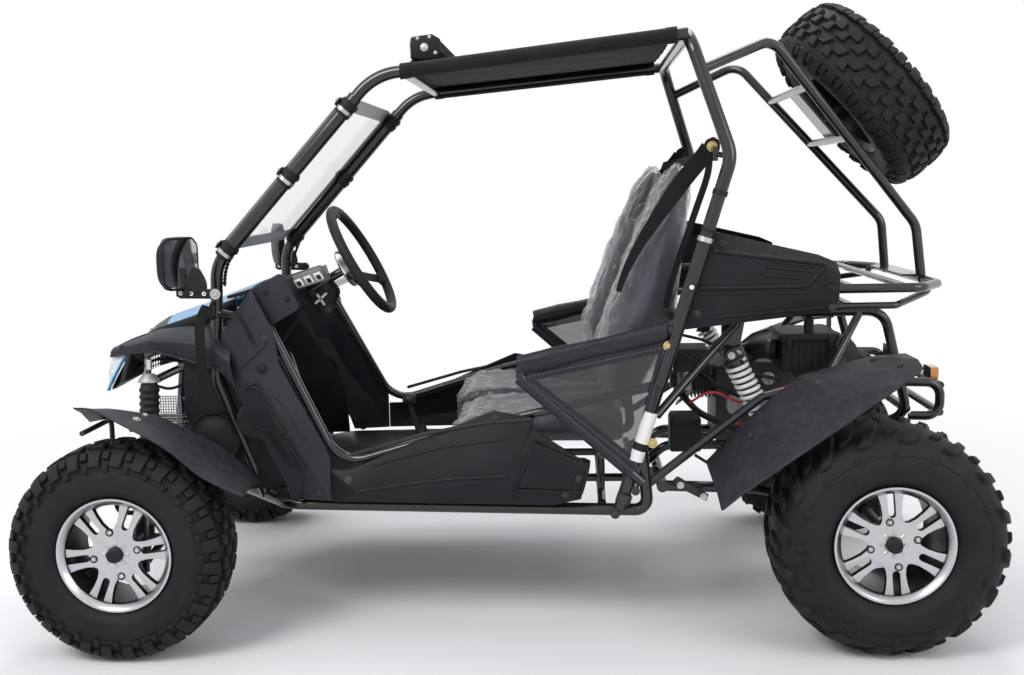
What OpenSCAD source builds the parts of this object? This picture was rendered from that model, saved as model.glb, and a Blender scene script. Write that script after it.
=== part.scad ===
// Two-seat off-road kart with a tubular roll cage.
// X runs rearward, Y to the vehicle's right, Z up, in millimetres.
// The origin lies on the ground, half way along and across the kart.

/* [Wheels] */
// Distance between the front and rear axles
wheelbase = 1840; // [1700:10:2000]
// Distance between the front tyres' middle planes
front_track = 1150; // [1120:2:1180]
// Distance between the rear tyres' middle planes
rear_track = 1030; // [1020:2:1060]
// Radius of the front tyre at its lug tips
front_tyre_r = 266.5; // [260:0.5:272]
// Width of the front tyre
front_tyre_w = 178; // [170:1:184]
// Radius of the rear tyre at its lug tips
rear_tyre_r = 279.5; // [272:0.5:286]
// Width of the rear tyre
rear_tyre_w = 254; // [244:1:262]
// Radius of the rims at the bead seat
bead_r = 127; // [124:0.5:130]
// Height of the rim lip over the bead seat
lip_h = 13; // [10:0.5:16]
// Width of the front rims
front_rim_w = 148; // [140:1:154]
// Width of the rear rims
rear_rim_w = 210; // [200:1:220]
// Number of spokes of a rim
spokes = 6; // [5:1:8]
// Thickness of the rim's spoke disc
spoke_t = 14; // [10:1:18]
// Height of the tread's lugs
lug_h = 11; // [8:0.5:13]
// Number of lugs in a row of a front tyre
front_lugs = 20; // [16:1:24]
// Number of lugs in a row of a rear tyre
rear_lugs = 16; // [12:1:20]

/* [Frame] */
// Radius of the roll hoop and roof tubes
tube_r = 16; // [14:0.5:18]
// Radius of the padded windscreen pillars
pillar_r = 18.5; // [17:0.5:20]
// Radius of the rear cage and rack tubes
brace_r = 12.5; // [10:0.5:13.5]
// Radius of the floor rails
rail_r = 15; // [13:0.5:16]
// Bend radius of the main tubes
bend_r = 90; // [70:5:110]
// Height of the floor rails' middle line
rail_z = 326; // [310:2:340]
// Half distance between the outer floor rails
rail_y = 465; // [455:1:475]
// Height of the roof at the hoop
roof_z = 1475; // [1450:5:1500]
// Half width of the roof at the hoop
hoop_top_y = 416; // [405:1:425]
// Half width of the hoop at the shoulder bend
hoop_mid_y = 484; // [475:1:490]
// Half width of the cage at the windscreen
pillar_y = 357; // [350:1:362]

/* [Body] */
// Thickness of the plastic panels
panel_t = 14; // [10:1:20]
// Thickness of the windscreen sheet
screen_t = 4; // [3:0.5:6]
// Gap between pieces that rest on each other
seat_gap = 0.3; // [0.2:0.05:0.5]

/* [Seats] */
// Half distance between the two seats
seat_y = 215; // [210:1:225]
// Width of one seat
seat_w = 370; // [350:5:380]

/* [Steering] */
// Radius of the steering wheel's rim at its middle
wheel_rim_r = 148; // [140:1:155]
// Radius of the steering wheel's grip
grip_r = 13; // [11:0.5:15]
// Rake of the steering column above level
column_rake = 29; // [25:0.5:33]
// Distance from a steering pivot out to its wheel's middle plane
kingpin_in = 105; // [100:1:112]
// Length of the steering arms on the knuckles
steer_arm = 105; // [95:1:115]

/* [Hidden] */
$fn = 48;
// Extra radius of a bent stretch, so that a straight one ends inside it
swell = 0.05;
// Length of a straight tube that reaches into its bend
bite = 1;
axle_front_x = -(wheelbase + rear_tyre_r - front_tyre_r) / 2;
axle_rear_x = axle_front_x + wheelbase;
axle_front_z = front_tyre_r;
axle_rear_z = rear_tyre_r;
wheel_front_y = front_track / 2;
wheel_rear_y = rear_track / 2;
lip_r = bead_r + lip_h;
kingpin_y = wheel_front_y - kingpin_in;

// Middle lines of the tubes on the far side; the near side is their mirror
hoop_foot = [283, rail_y + 15, rail_z + 7];
hoop_mid = [550, hoop_mid_y, 1183];
hoop_top = [455, hoop_top_y, roof_z];
roof_front = [-312, pillar_y - 9, roof_z - 72.5];
pillar_top = [-732, pillar_y, 941];
pillar_knee = [-746, pillar_y, 640];
pillar_foot = [-640, 322, rail_z];
rail_line = [[-1040, 130, rail_z + 14], [-800, 150, rail_z], [-560, 405, rail_z],
    [250, rail_y, rail_z], [352, rail_y + 5, rail_z], [337, rail_y + 17, rail_z + 164]];
nose_line = [[-1036, 133, rail_z + 14], [-1012, 150, 600], [-930, 352, 716], [-744, pillar_y, 740]];
sill_line = [[-738, pillar_y, 815], [-600, 390, 790], [-418, 432, 432], [-60, 458, 537], [379, 481, 640]];
rear_top = [668, 318, roof_z - 8];
rear_low = [1066, 174, 1003];
rear_foot = [1080, 182, 872];
rack_z = 860;
rack_corner = [1020, 405, rack_z];
rack_rear = [1088, 300, rack_z];
cradle_z = 405;
rear_line = [[427, 300, 792], [960, 290, 792], [1030, 270, 520], [830, 110, cradle_z],
    [420, 105, cradle_z], [332, 100, rail_z]];
function hoop_at(z) = hoop_foot + (hoop_mid - hoop_foot) * (z - hoop_foot[2]) / (hoop_mid[2] - hoop_foot[2]);
cage_start = hoop_top + (hoop_mid - hoop_top) * 0.3;
rack_front = [482, 422, rack_z];
floor_top = rail_z + rail_r + seat_gap;
seat_z = 470;
seat_rod_r = brace_r - 3;
dash_bar_z = 808.7;
function roof_at(x) = roof_front + (hoop_top - roof_front) * (x - roof_front[0]) / (hoop_top[0] - roof_front[0]);
steer_z = 350;
tie_z = steer_z + 16;
tie_r = 8;
axle_r = 15;
spindle_r = 12;
upright_low = 196;
upright_high = 362;

function unit(v) = v / norm(v);
function flip(p) = [p[0], -p[1], p[2]];
function turn_at(p, q, s) = acos(unit(q - p) * unit(s - q));

// Places its children with their X, Y and Z along the three directions
module axes(o, x, y, z) {
    multmatrix([[x[0], y[0], z[0], o[0]], [x[1], y[1], z[1], o[1]], [x[2], y[2], z[2], o[2]], [0, 0, 0, 1]])
        children();
}

// Places its children with their Z along the line from a to b
module aim(a, b) {
    d = unit(b - a);
    side = abs(d[2]) < 0.9 ? unit(cross([0, 0, 1], d)) : unit(cross(d, [1, 0, 0]));
    axes(a, side, cross(d, side), d) children();
}

module rod(a, b, r) {
    aim(a, b) cylinder(h = norm(b - a), r = r);
}

module elbow(p, q, s, bend, r) {
    turn = turn_at(p, q, s);
    u = unit(q - p);
    v = unit(s - q);
    start = q - u * bend * tan(turn / 2);
    centre = q + unit(v - u) * bend / cos(turn / 2);
    x = (start - centre) / bend;
    axes(centre, x, u, cross(x, u)) rotate_extrude(angle = turn) translate([bend, 0]) circle(r + swell);
}

// A bent tube along a line of points, with one bend radius or one for each inner point
module pipe(line, bend, r) {
    last = len(line) - 1;
    bends = is_list(bend) ? bend : [for (i = [1:1:last - 1]) bend];
    cut = [for (i = [0:last]) (i == 0 || i == last) ? 0 :
        bends[i - 1] * tan(turn_at(line[i - 1], line[i], line[i + 1]) / 2) - bite];
    for (i = [0:last - 1]) {
        d = unit(line[i + 1] - line[i]);
        rod(line[i] + d * cut[i], line[i + 1] - d * cut[i + 1], r);
    }
    for (i = [1:1:last - 1]) elbow(line[i - 1], line[i], line[i + 1], bends[i - 1], r);
}

// Draws its children and their mirror on the near side
module both() {
    children();
    mirror([0, 1, 0]) children();
}

// A flat panel with an outline in X and Z, from y_low to y_high
module slab(outline, y_low, y_high) {
    translate([0, y_high, 0]) rotate([90, 0, 0]) linear_extrude(y_high - y_low) polygon(outline);
}

// A moulded panel of the far side: its corners on the outer face, that face's triangles and the corners
// round its outline, with the thickness t towards the kart's middle
module moulded(corners, faces, rim, t) {
    n = len(corners);
    inner = [for (c = corners) c - [0, t, 0]];
    back = [for (f = faces) [f[2] + n, f[1] + n, f[0] + n]];
    edge = [for (i = [0:len(rim) - 1]) let (a = rim[i], b = rim[(i + 1) % len(rim)]) [b, a, a + n, b + n]];
    polyhedron(concat(corners, inner), concat(faces, back, edge));
}

// A thin shell over its lines, which run side by side from the near edge to the far one, with the
// thickness t towards a shaft along Y at centre
module shell(lines, centre, t) {
    n = len(lines[0]);
    last = len(lines) - 1;
    top = [for (line = lines) each line];
    m = len(top);
    low = [for (p = top) p + t * unit([centre[0] - p[0], 0, centre[2] - p[2]])];
    quads = [for (k = [0:last - 1], i = [0:n - 2]) [k * n + i, k * n + n + i, k * n + n + i + 1, k * n + i + 1]];
    rim = concat([for (k = [0:last]) k * n], [for (i = [1:n - 1]) last * n + i],
        [for (k = [last - 1:-1:0]) k * n + n - 1], [for (i = [n - 2:-1:1]) i]);
    edge = [for (i = [0:len(rim) - 1]) let (a = rim[i], b = rim[(i + 1) % len(rim)]) [b, a, a + m, b + m]];
    split = [for (q = concat(quads, [for (q = quads) [q[3] + m, q[2] + m, q[1] + m, q[0] + m]], edge))
        each [[q[0], q[1], q[2]], [q[0], q[2], q[3]]]];
    polyhedron(concat(top, low), split);
}

// A smooth line through the points of p, with four steps between two of them
function between(a, b, c, d, t) = 0.5 * (2 * b + (c - a) * t + (2 * a - 5 * b + 4 * c - d) * t * t
    + (3 * b - a - 3 * c + d) * t * t * t);
function smooth(p) = concat([for (i = [0:len(p) - 2], k = [0:3])
    between(p[max(i - 1, 0)], p[i], p[i + 1], p[min(i + 2, len(p) - 1)], k / 4)], [p[len(p) - 1]]);

module front_struts(grow = 0) {
    both() pipe([[-780, 150, rail_z], [-780, 148, 500], [-1020, 145, 500]], 40, brace_r - 1 + grow);
}

module rails(grow = 0) {
    both() pipe(rail_line, [for (i = [1:4]) i < 4 ? bend_r : 30], rail_r + grow);
}

module sill_tubes(grow = 0) {
    both() pipe(sill_line, [40, 90, 90], brace_r - 0.5 + grow);
}

module nose_tubes(grow = 0) {
    both() pipe(nose_line, [60, 60, 50], brace_r + grow);
}

module hoop_leg(grow = 0) {
    both() rod(hoop_at(380), hoop_mid, tube_r + grow);
}

module inner_rails(grow = 0) {
    both() rod([-800, 152, rail_z], [330, 152, rail_z], brace_r - 1.6 + grow);
}

module floor_frame() color("#1a1b1d") {
    cross_r = brace_r - 1;
    difference() {
        union() {
            rails();
            inner_rails();
            rod([-1030, -132, rail_z + 13], [-1030, 132, rail_z + 13], cross_r);
            for (x = [-540, -60, 240]) rod([x, -412, rail_z], [x, 412, rail_z], cross_r);
            rod([330, -300, rail_z], [330, 300, rail_z], cross_r);
            for (x = [-60, 240]) {
                rod([x, -455, seat_z - seat_rod_r], [x, 455, seat_z - seat_rod_r], seat_rod_r);
                both() rod([x, 300, rail_z], [x, 300, seat_z - seat_rod_r], cross_r - 1.2);
            }
        }
        hoop_leg(seat_gap);
    }
}

// Tubes that carry the nose, the front arms and the tops of the front shocks
module front_frame() color("#1a1b1d") {
    difference() {
        union() {
            nose_tubes();
            front_struts();
            rod([-1011, -150, 598], [-1011, 150, 598], brace_r - 1);
        }
        rails(seat_gap);
        inner_rails(seat_gap);
        rod([-1030, -132, rail_z + 13], [-1030, 132, rail_z + 13], brace_r - 1 + seat_gap);
    }
}

// Tubes along the door openings, from the windscreen pillar to the hoop
module side_tubes() color("#1a1b1d") {
    difference() {
        sill_tubes();
        hoop_leg(seat_gap);
    }
}

// Tubes behind the hoop that hold the engine, the rear springs and the bumper
module rear_frame() color("#1a1b1d") {
    difference() {
        union() {
            both() pipe(rear_line, 55, brace_r);
            for (x = [600, 900]) rod([x, -295, 792], [x, 295, 792], brace_r - 1);
            rod([1026, -272, 535], [1026, 272, 535], brace_r - 1);
            both() slab([[548, 798], [612, 798], [588, 665], [550, 665]], 306, 312);
            both() pipe([[346, 470, rail_z + 60], [640, 388.7, 590], [800, 388.7, 632]], 40, brace_r - 1.5);
            both() difference() {
                slab([[322, 340], [390, 372], [418, 350], [400, 324], [330, 314]], 196, 206);
                rod([398, 0, 346], [398, 300, 346], 15 + seat_gap);
            }
            both() rod([792, 388.7, 630], [900, 292, 792], brace_r - 2.5);
        }
        hoop_leg(seat_gap);
        rails(seat_gap);
        rod([330, -300, rail_z], [330, 300, rail_z], brace_r - 1 + seat_gap);
        rod([427, -500, 792], [427, 500, 792], brace_r + seat_gap);
    }
}

module hoop(grow = 0) {
    line = [hoop_foot, hoop_mid, hoop_top, flip(hoop_top), flip(hoop_mid), flip(hoop_foot)];
    pipe(line, [bend_r, 60, 60, bend_r], tube_r + grow);
}

module main_hoop() color("#1a1b1d") {
    difference() {
        union() {
            hoop();
            rod([427, -484, 792], [427, 484, 792], brace_r);
            for (s = [-1, 1]) translate([516, s * 430, 1190]) cube([12, 44, 34], center = true);
            both() rod([516, 440, 1190], [546, 484, 1183], 7);
        }
        both() rod(rail_line[3], rail_line[4], rail_r + seat_gap);
    }
}

module front_cage() color("#1a1b1d") {
    difference() {
        union() {
            both() pipe([pillar_foot, pillar_knee, pillar_top, roof_front, hoop_top], [60, 110, 150], tube_r - 0.6);
            both() rod([-714, pillar_y, 960], [-360, pillar_y - 7.5, 1350], pillar_r);
            rod(flip(roof_front + [70, 1, 6.6]), roof_front + [70, 1, 6.6], brace_r);
            rod([-738, -pillar_y, dash_bar_z], [-738, pillar_y, dash_bar_z], brace_r);
        }
        hoop(seat_gap);
        rails(seat_gap);
        nose_tubes(seat_gap);
        sill_tubes(seat_gap);
    }
}

module rear_cage() color("#1a1b1d") {
    along = unit(rear_low - rear_top);
    difference() {
        union() {
            both() pipe([cage_start, rear_top, rear_low, rear_foot], [60, 60], brace_r);
            for (t = [151, 323]) {
                p = rear_top + along * t;
                rod(flip(p), p, brace_r - 2);
            }
        }
        hoop(seat_gap);
    }
    axes([rear_top[0], 0, rear_top[2]], [spare_normal[2], 0, -spare_normal[0]], [0, 1, 0], spare_normal) {
        translate([140, -60, brace_r - 3]) cube([182, 120, 5]);
        translate([spare_along, 0, brace_r - 3]) cylinder(h = spare_lift - 10 - (brace_r - 3) - seat_gap, r = 22);
    }
}

module rack_plate() {
    difference() {
        translate([1034, -168, rack_z + brace_r - 4]) cube([62, 336, 5]);
        for (x = [-13, 13], y = [-120, 120]) translate([1058 + x, y, rack_z]) cylinder(h = 40, r = 4.5);
    }
}

module rack_tube(grow = 0) {
    line = [hoop_at(rack_z), rack_front, rack_corner, rack_rear, flip(rack_rear), flip(rack_corner),
        flip(rack_front), flip(hoop_at(rack_z))];
    pipe(line, 40, brace_r - 1 + grow);
}

module cargo_rack() color("#1a1b1d") {
    difference() {
        union() {
            rack_tube();
            for (x = [720, 860, 990]) rod([x, -410, rack_z], [x, 410, rack_z], brace_r - 4);
            rack_plate();
            both() pipe([[810, 408, 817], [960, 400, 817], [1060, 306, 840], [1070, 302, rack_z]], 20, brace_r - 4);
        }
        both() rod(rear_low, rear_foot - [0, 0, 30], brace_r + seat_gap);
        hoop(seat_gap);
    }
}

module floor_pan() color("#232426") {
    translate([-765, -165, floor_top]) cube([690, 330, 4]);
    both() translate([0, 0, floor_top]) linear_extrude(4)
        polygon([[-700, 165 + seat_gap], [-700, 235], [-560, 380], [-75, 380], [-75, 165 + seat_gap]]);
}

module roof_canvas() color("#101113") {
    lift = tube_r + seat_gap;
    front = roof_at(-212) + [0, 0, lift];
    back = roof_at(425) + [0, 0, lift];
    hull() {
        for (s = [-1, 1], c = [front, back]) translate([c[0] - 2, s * (c[1] + tube_r + 6) - 2, c[2]]) cube(4);
    }
    both() hull() {
        for (c = [front, back]) translate([c[0] - 2, c[1] + tube_r + 4, c[2] - 44]) cube([4, 4, 45]);
    }
}

module windscreen() color("#c9ced0", 0.5) {
    d = unit([roof_front[0] - pillar_top[0], 0, roof_front[2] - pillar_top[2]]);
    n = [-d[2], 0, d[0]];
    p = [pillar_top[0], 0, pillar_top[2]] + d * 20 + n * (pillar_r + seat_gap);
    axes(p, d, [0, 1, 0], n) translate([0, -pillar_y, 0]) cube([520, 2 * pillar_y, screen_t]);
}

module light_bar() color("#17181a") {
    c = [-190, 0, 1472];
    foot = roof_at(-242)[2] + brace_r + seat_gap;
    slab([for (p = [[-38, -30], [34, -30], [44, -12], [40, 22], [20, 32], [-30, 26], [-40, 10]]) [c[0] + p[0], c[2] + p[1]]],
        -300, 300);
    both() slab([[-252, foot], [-234, foot], [c[0] - 12, c[2] - 29], [c[0] - 38, c[2] - 20]], 240, 246);
}

module hood() color("#5fa9d0") {
    hull() {
        for (s = [-1, 1]) {
            translate([-1000, s * 190, 728]) cube(4, center = true);
            translate([-885, s * 285, 797]) cube(4, center = true);
            translate([-885, s * 150, 822]) cube(4, center = true);
            translate([-730, s * 305, 851]) cube(4, center = true);
            translate([-730, s * 170, 872]) cube(4, center = true);
            translate([-640, s * 305, 884]) cube(4, center = true);
            translate([-640, s * 170, 902]) cube(4, center = true);
            translate([-648, s * 305, 858]) cube(4, center = true);
        }
    }
}

// Front corner of the body: x, y, z of the corners of its far half
nose_corners = [[-1058, 120, 700], [-1050, 225, 690], [-1070, 120, 610], [-1060, 250, 606], [-1003, 192, 721],
    [-1003, 120, 721], [-980, 335, 712], [-1000, 335, 640], [-978, 215, 650]];
module nose_body(grow = 0) {
    hull() for (c = nose_corners) translate(c) cube(6 + 2 * grow, center = true);
}

module nose_fairing() color("#2a2c2f") {
    both() difference() {
        nose_body();
        nose_tubes(seat_gap);
    }
}

// Outer corners of the cowl: x, how far it bulges, z
cowl_corners = [[-722, 0, 762], [-633, 0, 878], [-579, 0, 777], [-564, 0, 685], [-455, 0, 492], [-438, 0, 455],
    [-438, 0, 345], [-548, 0, 345], [-561, 0, 385], [-636, 0, 523], [-705, 0, 649],
    [-687, 12, 732], [-660, 18, 650], [-621, 20, 643], [-562, 20, 527], [-497, 14, 448]];
cowl_faces = [[0, 10, 11], [10, 12, 11], [10, 9, 12], [9, 13, 12], [9, 14, 13], [9, 8, 14], [8, 15, 14],
    [8, 7, 15], [7, 6, 15], [6, 5, 15], [5, 4, 15], [15, 4, 14], [4, 3, 14], [14, 3, 13], [3, 2, 13],
    [13, 2, 12], [2, 11, 12], [2, 1, 11], [1, 0, 11]];

// Lays a panel's corners beside a straight stretch of the sill tube, panel_t thick
function beside(corners, a, b) = [for (c = corners)
    [c[0], a[1] + (c[0] - a[0]) * (b[1] - a[1]) / (b[0] - a[0]) + brace_r + panel_t + c[1], c[2]]];

module cowls() color("#232426") {
    both() moulded(beside(cowl_corners, sill_line[1], sill_line[2]), cowl_faces,
        [0, 10, 9, 8, 7, 6, 5, 4, 3, 2, 1], panel_t - seat_gap);
}

// Outer corners of the side pod: x, how far it bulges, z
pod_corners = [[-436, 0, 425], [-436, 0, 345], [120, 0, 345], [188, 0, 361], [208, 0, 447], [71, 0, 535],
    [76, 0, 562], [-24, 0, 580], [-249, 0, 488], [-396, 0, 425], [-366, 20, 372], [-47, 28, 405], [40, 22, 480]];
pod_faces = [[0, 1, 10], [1, 11, 10], [1, 2, 11], [2, 3, 11], [3, 12, 11], [3, 4, 12], [4, 5, 12], [5, 6, 12],
    [6, 7, 12], [7, 11, 12], [7, 8, 11], [8, 10, 11], [8, 9, 10], [9, 0, 10]];

module side_pods() color("#232426") {
    both() moulded(beside(pod_corners, sill_line[2], sill_line[3]), pod_faces, [for (i = [0:9]) i], panel_t - seat_gap);
}

column_dir = [cos(column_rake), 0, sin(column_rake)];
hub_centre = [-385, -seat_y, 937];
column_low = hub_centre - column_dir * 330;
column_r = 12;

module column_tube(grow = 0) {
    rod(column_low, hub_centre - column_dir * (30 + seat_gap), column_r + grow);
}

module dash_panel() color("#232426") {
    side_y = 380;
    top = [[-635, 879], [-553, 908], [-521, 829], [-533, 829], [-560, 893], [-631, 868]];
    box = [[-558, 908], [-476, 927], [-466, 891], [-490, 805], [-520, 800], [-524, 832]];
    difference() {
        union() {
            slab(top, -side_y, side_y);
            slab(box, -315, -120);
        }
        column_tube(seat_gap);
    }
    both() difference() {
        slab([[-635, 879], [-553, 912], [-519, 829], [-590, 785]], side_y + seat_gap, side_y + 8);
        sill_tubes(seat_gap);
    }
}

module steering_column() color("#1a1b1d") {
    rack_x = axle_front_x + steer_arm;
    difference() {
        union() {
            column_tube();
            rod([column_low[0], column_low[1], column_low[2]], [rack_x, -70, tie_z + 10], 9);
            translate(column_low) sphere(16);
            rod([rack_x, -125, tie_z], [rack_x, 125, tie_z], 20);
            for (y = [-40, 40]) slab([[rack_x - 14, floor_top + 6], [rack_x, tie_z], [-735, floor_top + 10],
                [-735, floor_top + 4 + seat_gap], [rack_x + 20, floor_top + 4 + seat_gap]], y, y + 6);
        }
        rod([rack_x, -200, tie_z], [rack_x, 200, tie_z], tie_r + seat_gap);
    }
}

module steering_wheel() color("#17181a") {
    axes(hub_centre, [0, 1, 0], [-column_dir[2], 0, column_dir[0]], column_dir) {
        rotate_extrude() translate([wheel_rim_r, 0]) circle(grip_r);
        translate([0, 0, -30]) cylinder(h = 22, r = 36);
        for (a = [90, 210, 330]) rotate(a) {
            translate([24, -13, -24]) cube([wheel_rim_r - 28, 26, 5]);
            translate([wheel_rim_r - 9, -12, -22]) cube([7, 24, 16]);
        }
    }
}

// Half outline of a seat back from the front, as how far from its middle and how high
function seat_outline(w) = [[w / 2, 500], [w / 2, 930], [w / 2 - 18, 1040], [w / 2 - 52, 1120], [w / 2 - 96, 1166]];

module seats() color("#8a8f94") {
    back = [[404, 753], [298, 590], [235, 640], [224, 729], [397, 1146], [436, 1165], [457, 1145], [423, 867]];
    base = [[298, seat_z + seat_gap], [298, 600], [-42, 590], [-130, 560], [-140, 500], [-100, seat_z + seat_gap]];
    wing = [[298, 560], [298, 636], [235, 644], [150, 630], [-30, 616], [-60, 560]];
    half = seat_outline(seat_w);
    for (s = [-1, 1]) {
        intersection() {
            slab(back, s * seat_y - seat_w / 2, s * seat_y + seat_w / 2);
            translate([200, s * seat_y, 0]) rotate([90, 0, 90]) linear_extrude(300)
                polygon(concat(half, [for (i = [len(half) - 1:-1:0]) [-half[i][0], half[i][1]]]));
        }
        slab(base, s * seat_y - seat_w / 2, s * seat_y + seat_w / 2);
        for (e = [-1, 1]) slab(wing, s * seat_y + e * (seat_w / 2 - 24) - 23, s * seat_y + e * (seat_w / 2 - 24) + 23);
    }
}

module side_guards() color("#1a1b1d") {
    guard_y = 504;
    corner = [11, guard_y, 690];
    along = unit(hoop_at(776) - corner);
    difference() {
        both() {
            pipe([hoop_at(776), corner, [338, 492, 400]], 40, brace_r);
            rod(corner + along * 50, hoop_at(776) - along * 40, brace_r + 7);
            slab([[30, 690], [400, 764], [320, 424]], 498, 502);
        }
        hoop(seat_gap);
        rails(seat_gap);
    }
}

module belts() color("#101113") {
    belt_y = seat_y + seat_w / 2 + 12;
    both() slab([[520, 1172.7], [492, 1172.7], [330, 900], [262, 700], [310, 700], [380, 900]], belt_y, belt_y + 3);
}

module engine_block() color("#6d7074") {
    low = cradle_z + brace_r + seat_gap;
    slab([[560, low], [760, low], [800, 470], [800, 560], [740, 632], [620, 640], [560, 622]], -110, 110);
    slab([[580, 455], [600, 435], [780, 435], [830, 480], [830, 530], [790, 560], [620, 590], [580, 560]], 110, 150);
    rod([480, -40, 580], [560, -40, 580], 36);
    for (x = [484:10:554]) translate([x, -86, 534]) cube([4, 92, 92]);
    translate([452, -80, 540]) cube([28, 80, 80]);
    rod([440, -40, 580], [452, -40, 580], 26);
}

module airbox() color("#17181a") {
    translate([700, -318, 640]) cube([140, 183, 95]);
    translate([760, -300, 735]) cube([24, 20, 792 - 735 - brace_r - seat_gap]);
}

module exhaust() color("#4a4c50") {
    translate([900, -60, 640]) rotate([-90, 0, 0]) cylinder(h = 290, r = 55);
    translate([896, 60, 690]) cube([8, 30, 792 - 690 - brace_r + 1 - seat_gap]);
}

// Outer corners of the rear side panel: x, y, z, with its front edge behind the hoop
function behind_hoop(y, z) = [hoop_at(z)[0] + tube_r + 4 * seat_gap, y, z];
panel_corners = [behind_hoop(462, 1006), behind_hoop(486, 961), behind_hoop(480, 873), behind_hoop(474, 772),
    [788, 474, 811], [806, 478, 837], [808, 478, 902], [800, 470, 929], [759, 462, 947],
    [574, 488, 952], [769, 486, 927], [725, 482, 874], [768, 484, 912]];
panel_faces = [[0, 1, 9], [0, 9, 8], [8, 9, 10], [8, 10, 7], [7, 10, 6], [1, 2, 9], [2, 11, 9], [9, 11, 10],
    [10, 11, 12], [10, 12, 6], [2, 3, 11], [3, 4, 11], [4, 5, 11], [5, 12, 11], [5, 6, 12]];

module rear_panels() color("#232426") {
    both() difference() {
        moulded(panel_corners, panel_faces, [for (i = [0:8]) i], panel_t);
        rack_tube(seat_gap);
    }
}

module swing_arm() color("#1a1b1d") {
    difference() {
        union() {
            rod([398, -330, 346], [398, 330, 346], 15);
            both() pipe([[398, 316, 346], [640, 316, 338], [axle_rear_x, 300, axle_rear_z]], 80, 14);
            both() translate([axle_rear_x, 277, axle_rear_z]) rotate([-90, 0, 0]) cylinder(h = 46, r = 34);
            rod([640, -316, 338], [640, 316, 338], 12);
            both() slab([[690, 322], [740, 312], [730, 412], [716, 422], [702, 412]], 317, 324);
        }
        rod([axle_rear_x, -400, axle_rear_z], [axle_rear_x, 400, axle_rear_z], axle_r + seat_gap);
    }
}

// A spring round the line from a to b, its ends seated on its cups
module coil(a, b, radius, wire, turns) {
    steps = 12 * turns;
    sides = 6;
    rise = norm(b - a) - 2 * wire;
    points = [for (i = [0:steps], k = [0:sides - 1]) let (t = i * 30, u = radius + wire * cos(k * 60))
        [u * cos(t), u * sin(t), wire + rise * i / steps + wire * sin(k * 60)]];
    quads = [for (i = [0:steps - 1], k = [0:sides - 1]) let (j = (k + 1) % sides)
        [i * sides + k, i * sides + j, (i + 1) * sides + j, (i + 1) * sides + k]];
    split = [for (q = quads) each [[q[0], q[1], q[2]], [q[0], q[2], q[3]]]];
    aim(a, b) polyhedron(points, concat(split, [[for (k = [sides - 1:-1:0]) k]],
        [[for (k = [0:sides - 1]) steps * sides + k]]));
}

rear_shock_top = [569, 342, 690];
rear_shock_low = [716, 342, 404];
function down_shock(t) = rear_shock_top + unit(rear_shock_low - rear_shock_top) * t;
front_shock_top = [axle_front_x, 350, 668];
front_shock_low = [axle_front_x, kingpin_y - 69.5, 270];

// The ribbed boot of a front shock, as its radius along its length
module boot(a, b, ribs) {
    pitch = norm(b - a) / ribs;
    aim(a, b) rotate_extrude() polygon(concat([[0, 0]],
        [for (i = [0:ribs - 1]) each [[21, i * pitch], [25, (i + 0.5) * pitch]]], [[21, ribs * pitch], [0, ribs * pitch]]));
}

module shocks() color("#e8e8e6") {
    spring_r = 24;
    cup_r = spring_r + 6;
    both() {
        rod(down_shock(12), down_shock(200), 17);
        rod(down_shock(199), down_shock(312), 9);
        rod(down_shock(30), down_shock(36), cup_r);
        rod(down_shock(262), down_shock(268), cup_r);
        coil(down_shock(36 + seat_gap), down_shock(262 - seat_gap), spring_r, 4.5, 8);
        translate([rear_shock_low[0], 324 + seat_gap, rear_shock_low[2]]) rotate([-90, 0, 0]) cylinder(h = 36, r = 13);
        translate([rear_shock_top[0], 312 + seat_gap, rear_shock_top[2]]) rotate([-90, 0, 0]) cylinder(h = 44, r = 15);
        boot(front_shock_top, front_shock_low, 12);
        rod(front_shock_low, [axle_front_x, kingpin_y - 65, 234], 9);
        rod([axle_front_x - 24, kingpin_y - 65, 234.2], [axle_front_x + 24, kingpin_y - 65, 234.2], 14);
        difference() {
            rod(front_shock_top, [axle_front_x, 346, 706], 9);
            nose_tubes(seat_gap);
        }
    }
}

// Edges of a rear mudguard: how far behind the axle, how high over the tyre's top
rear_inner = [[-414, -129], [-339, -49], [-261, 26], [-183, 88], [-14, 133], [73, 140]];
rear_outer = [[-404, -187], [-361, -151], [-224, -54], [-114, 24], [10, 112], [46, 143]];
function over_rear(row, y) = [axle_rear_x + row[0], y, axle_rear_z + rear_tyre_r + row[1]];

module rear_fenders() color("#2a2c2f") {
    fold = [for (i = [0:len(rear_inner) - 1]) 0.28 * rear_inner[i] + 0.72 * rear_outer[i] + [0, 9]];
    both() shell([[for (row = rear_inner) over_rear(row, 400)], [for (row = fold) over_rear(row, 572)],
        [for (row = rear_outer) over_rear(row, 640)]], [axle_rear_x, 0, axle_rear_z], 6);
}

module rear_bumper() color("#1a1b1d") {
    difference() {
        union() {
            both() pipe([[1010, 276, 606], [1108, 280, 604], [1108, 280, 517], [1030, 272, 517]], 35, brace_r - 0.7);
            for (z = [596, 527]) rod([1108, -280, z], [1108, 280, z], brace_r - 2);
        }
        both() rod(rear_line[1], rear_line[2], brace_r + seat_gap);
        both() rod(rear_line[2], rear_line[3], brace_r + seat_gap);
        both() elbow(rear_line[1], rear_line[2], rear_line[3], 55, brace_r + seat_gap);
    }
}

module lamps() color("#dfe8ee") {
    both() difference() {
        translate([-1078, 230, 620]) cube([60, 80, 60]);
        nose_body(seat_gap);
        translate([-1020, 200, 600]) cube([60, 200, 120]);
    }
    both() translate([1094, 170, 596 + brace_r - 2 + seat_gap]) cube([28, 70, 42]);
}

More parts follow.
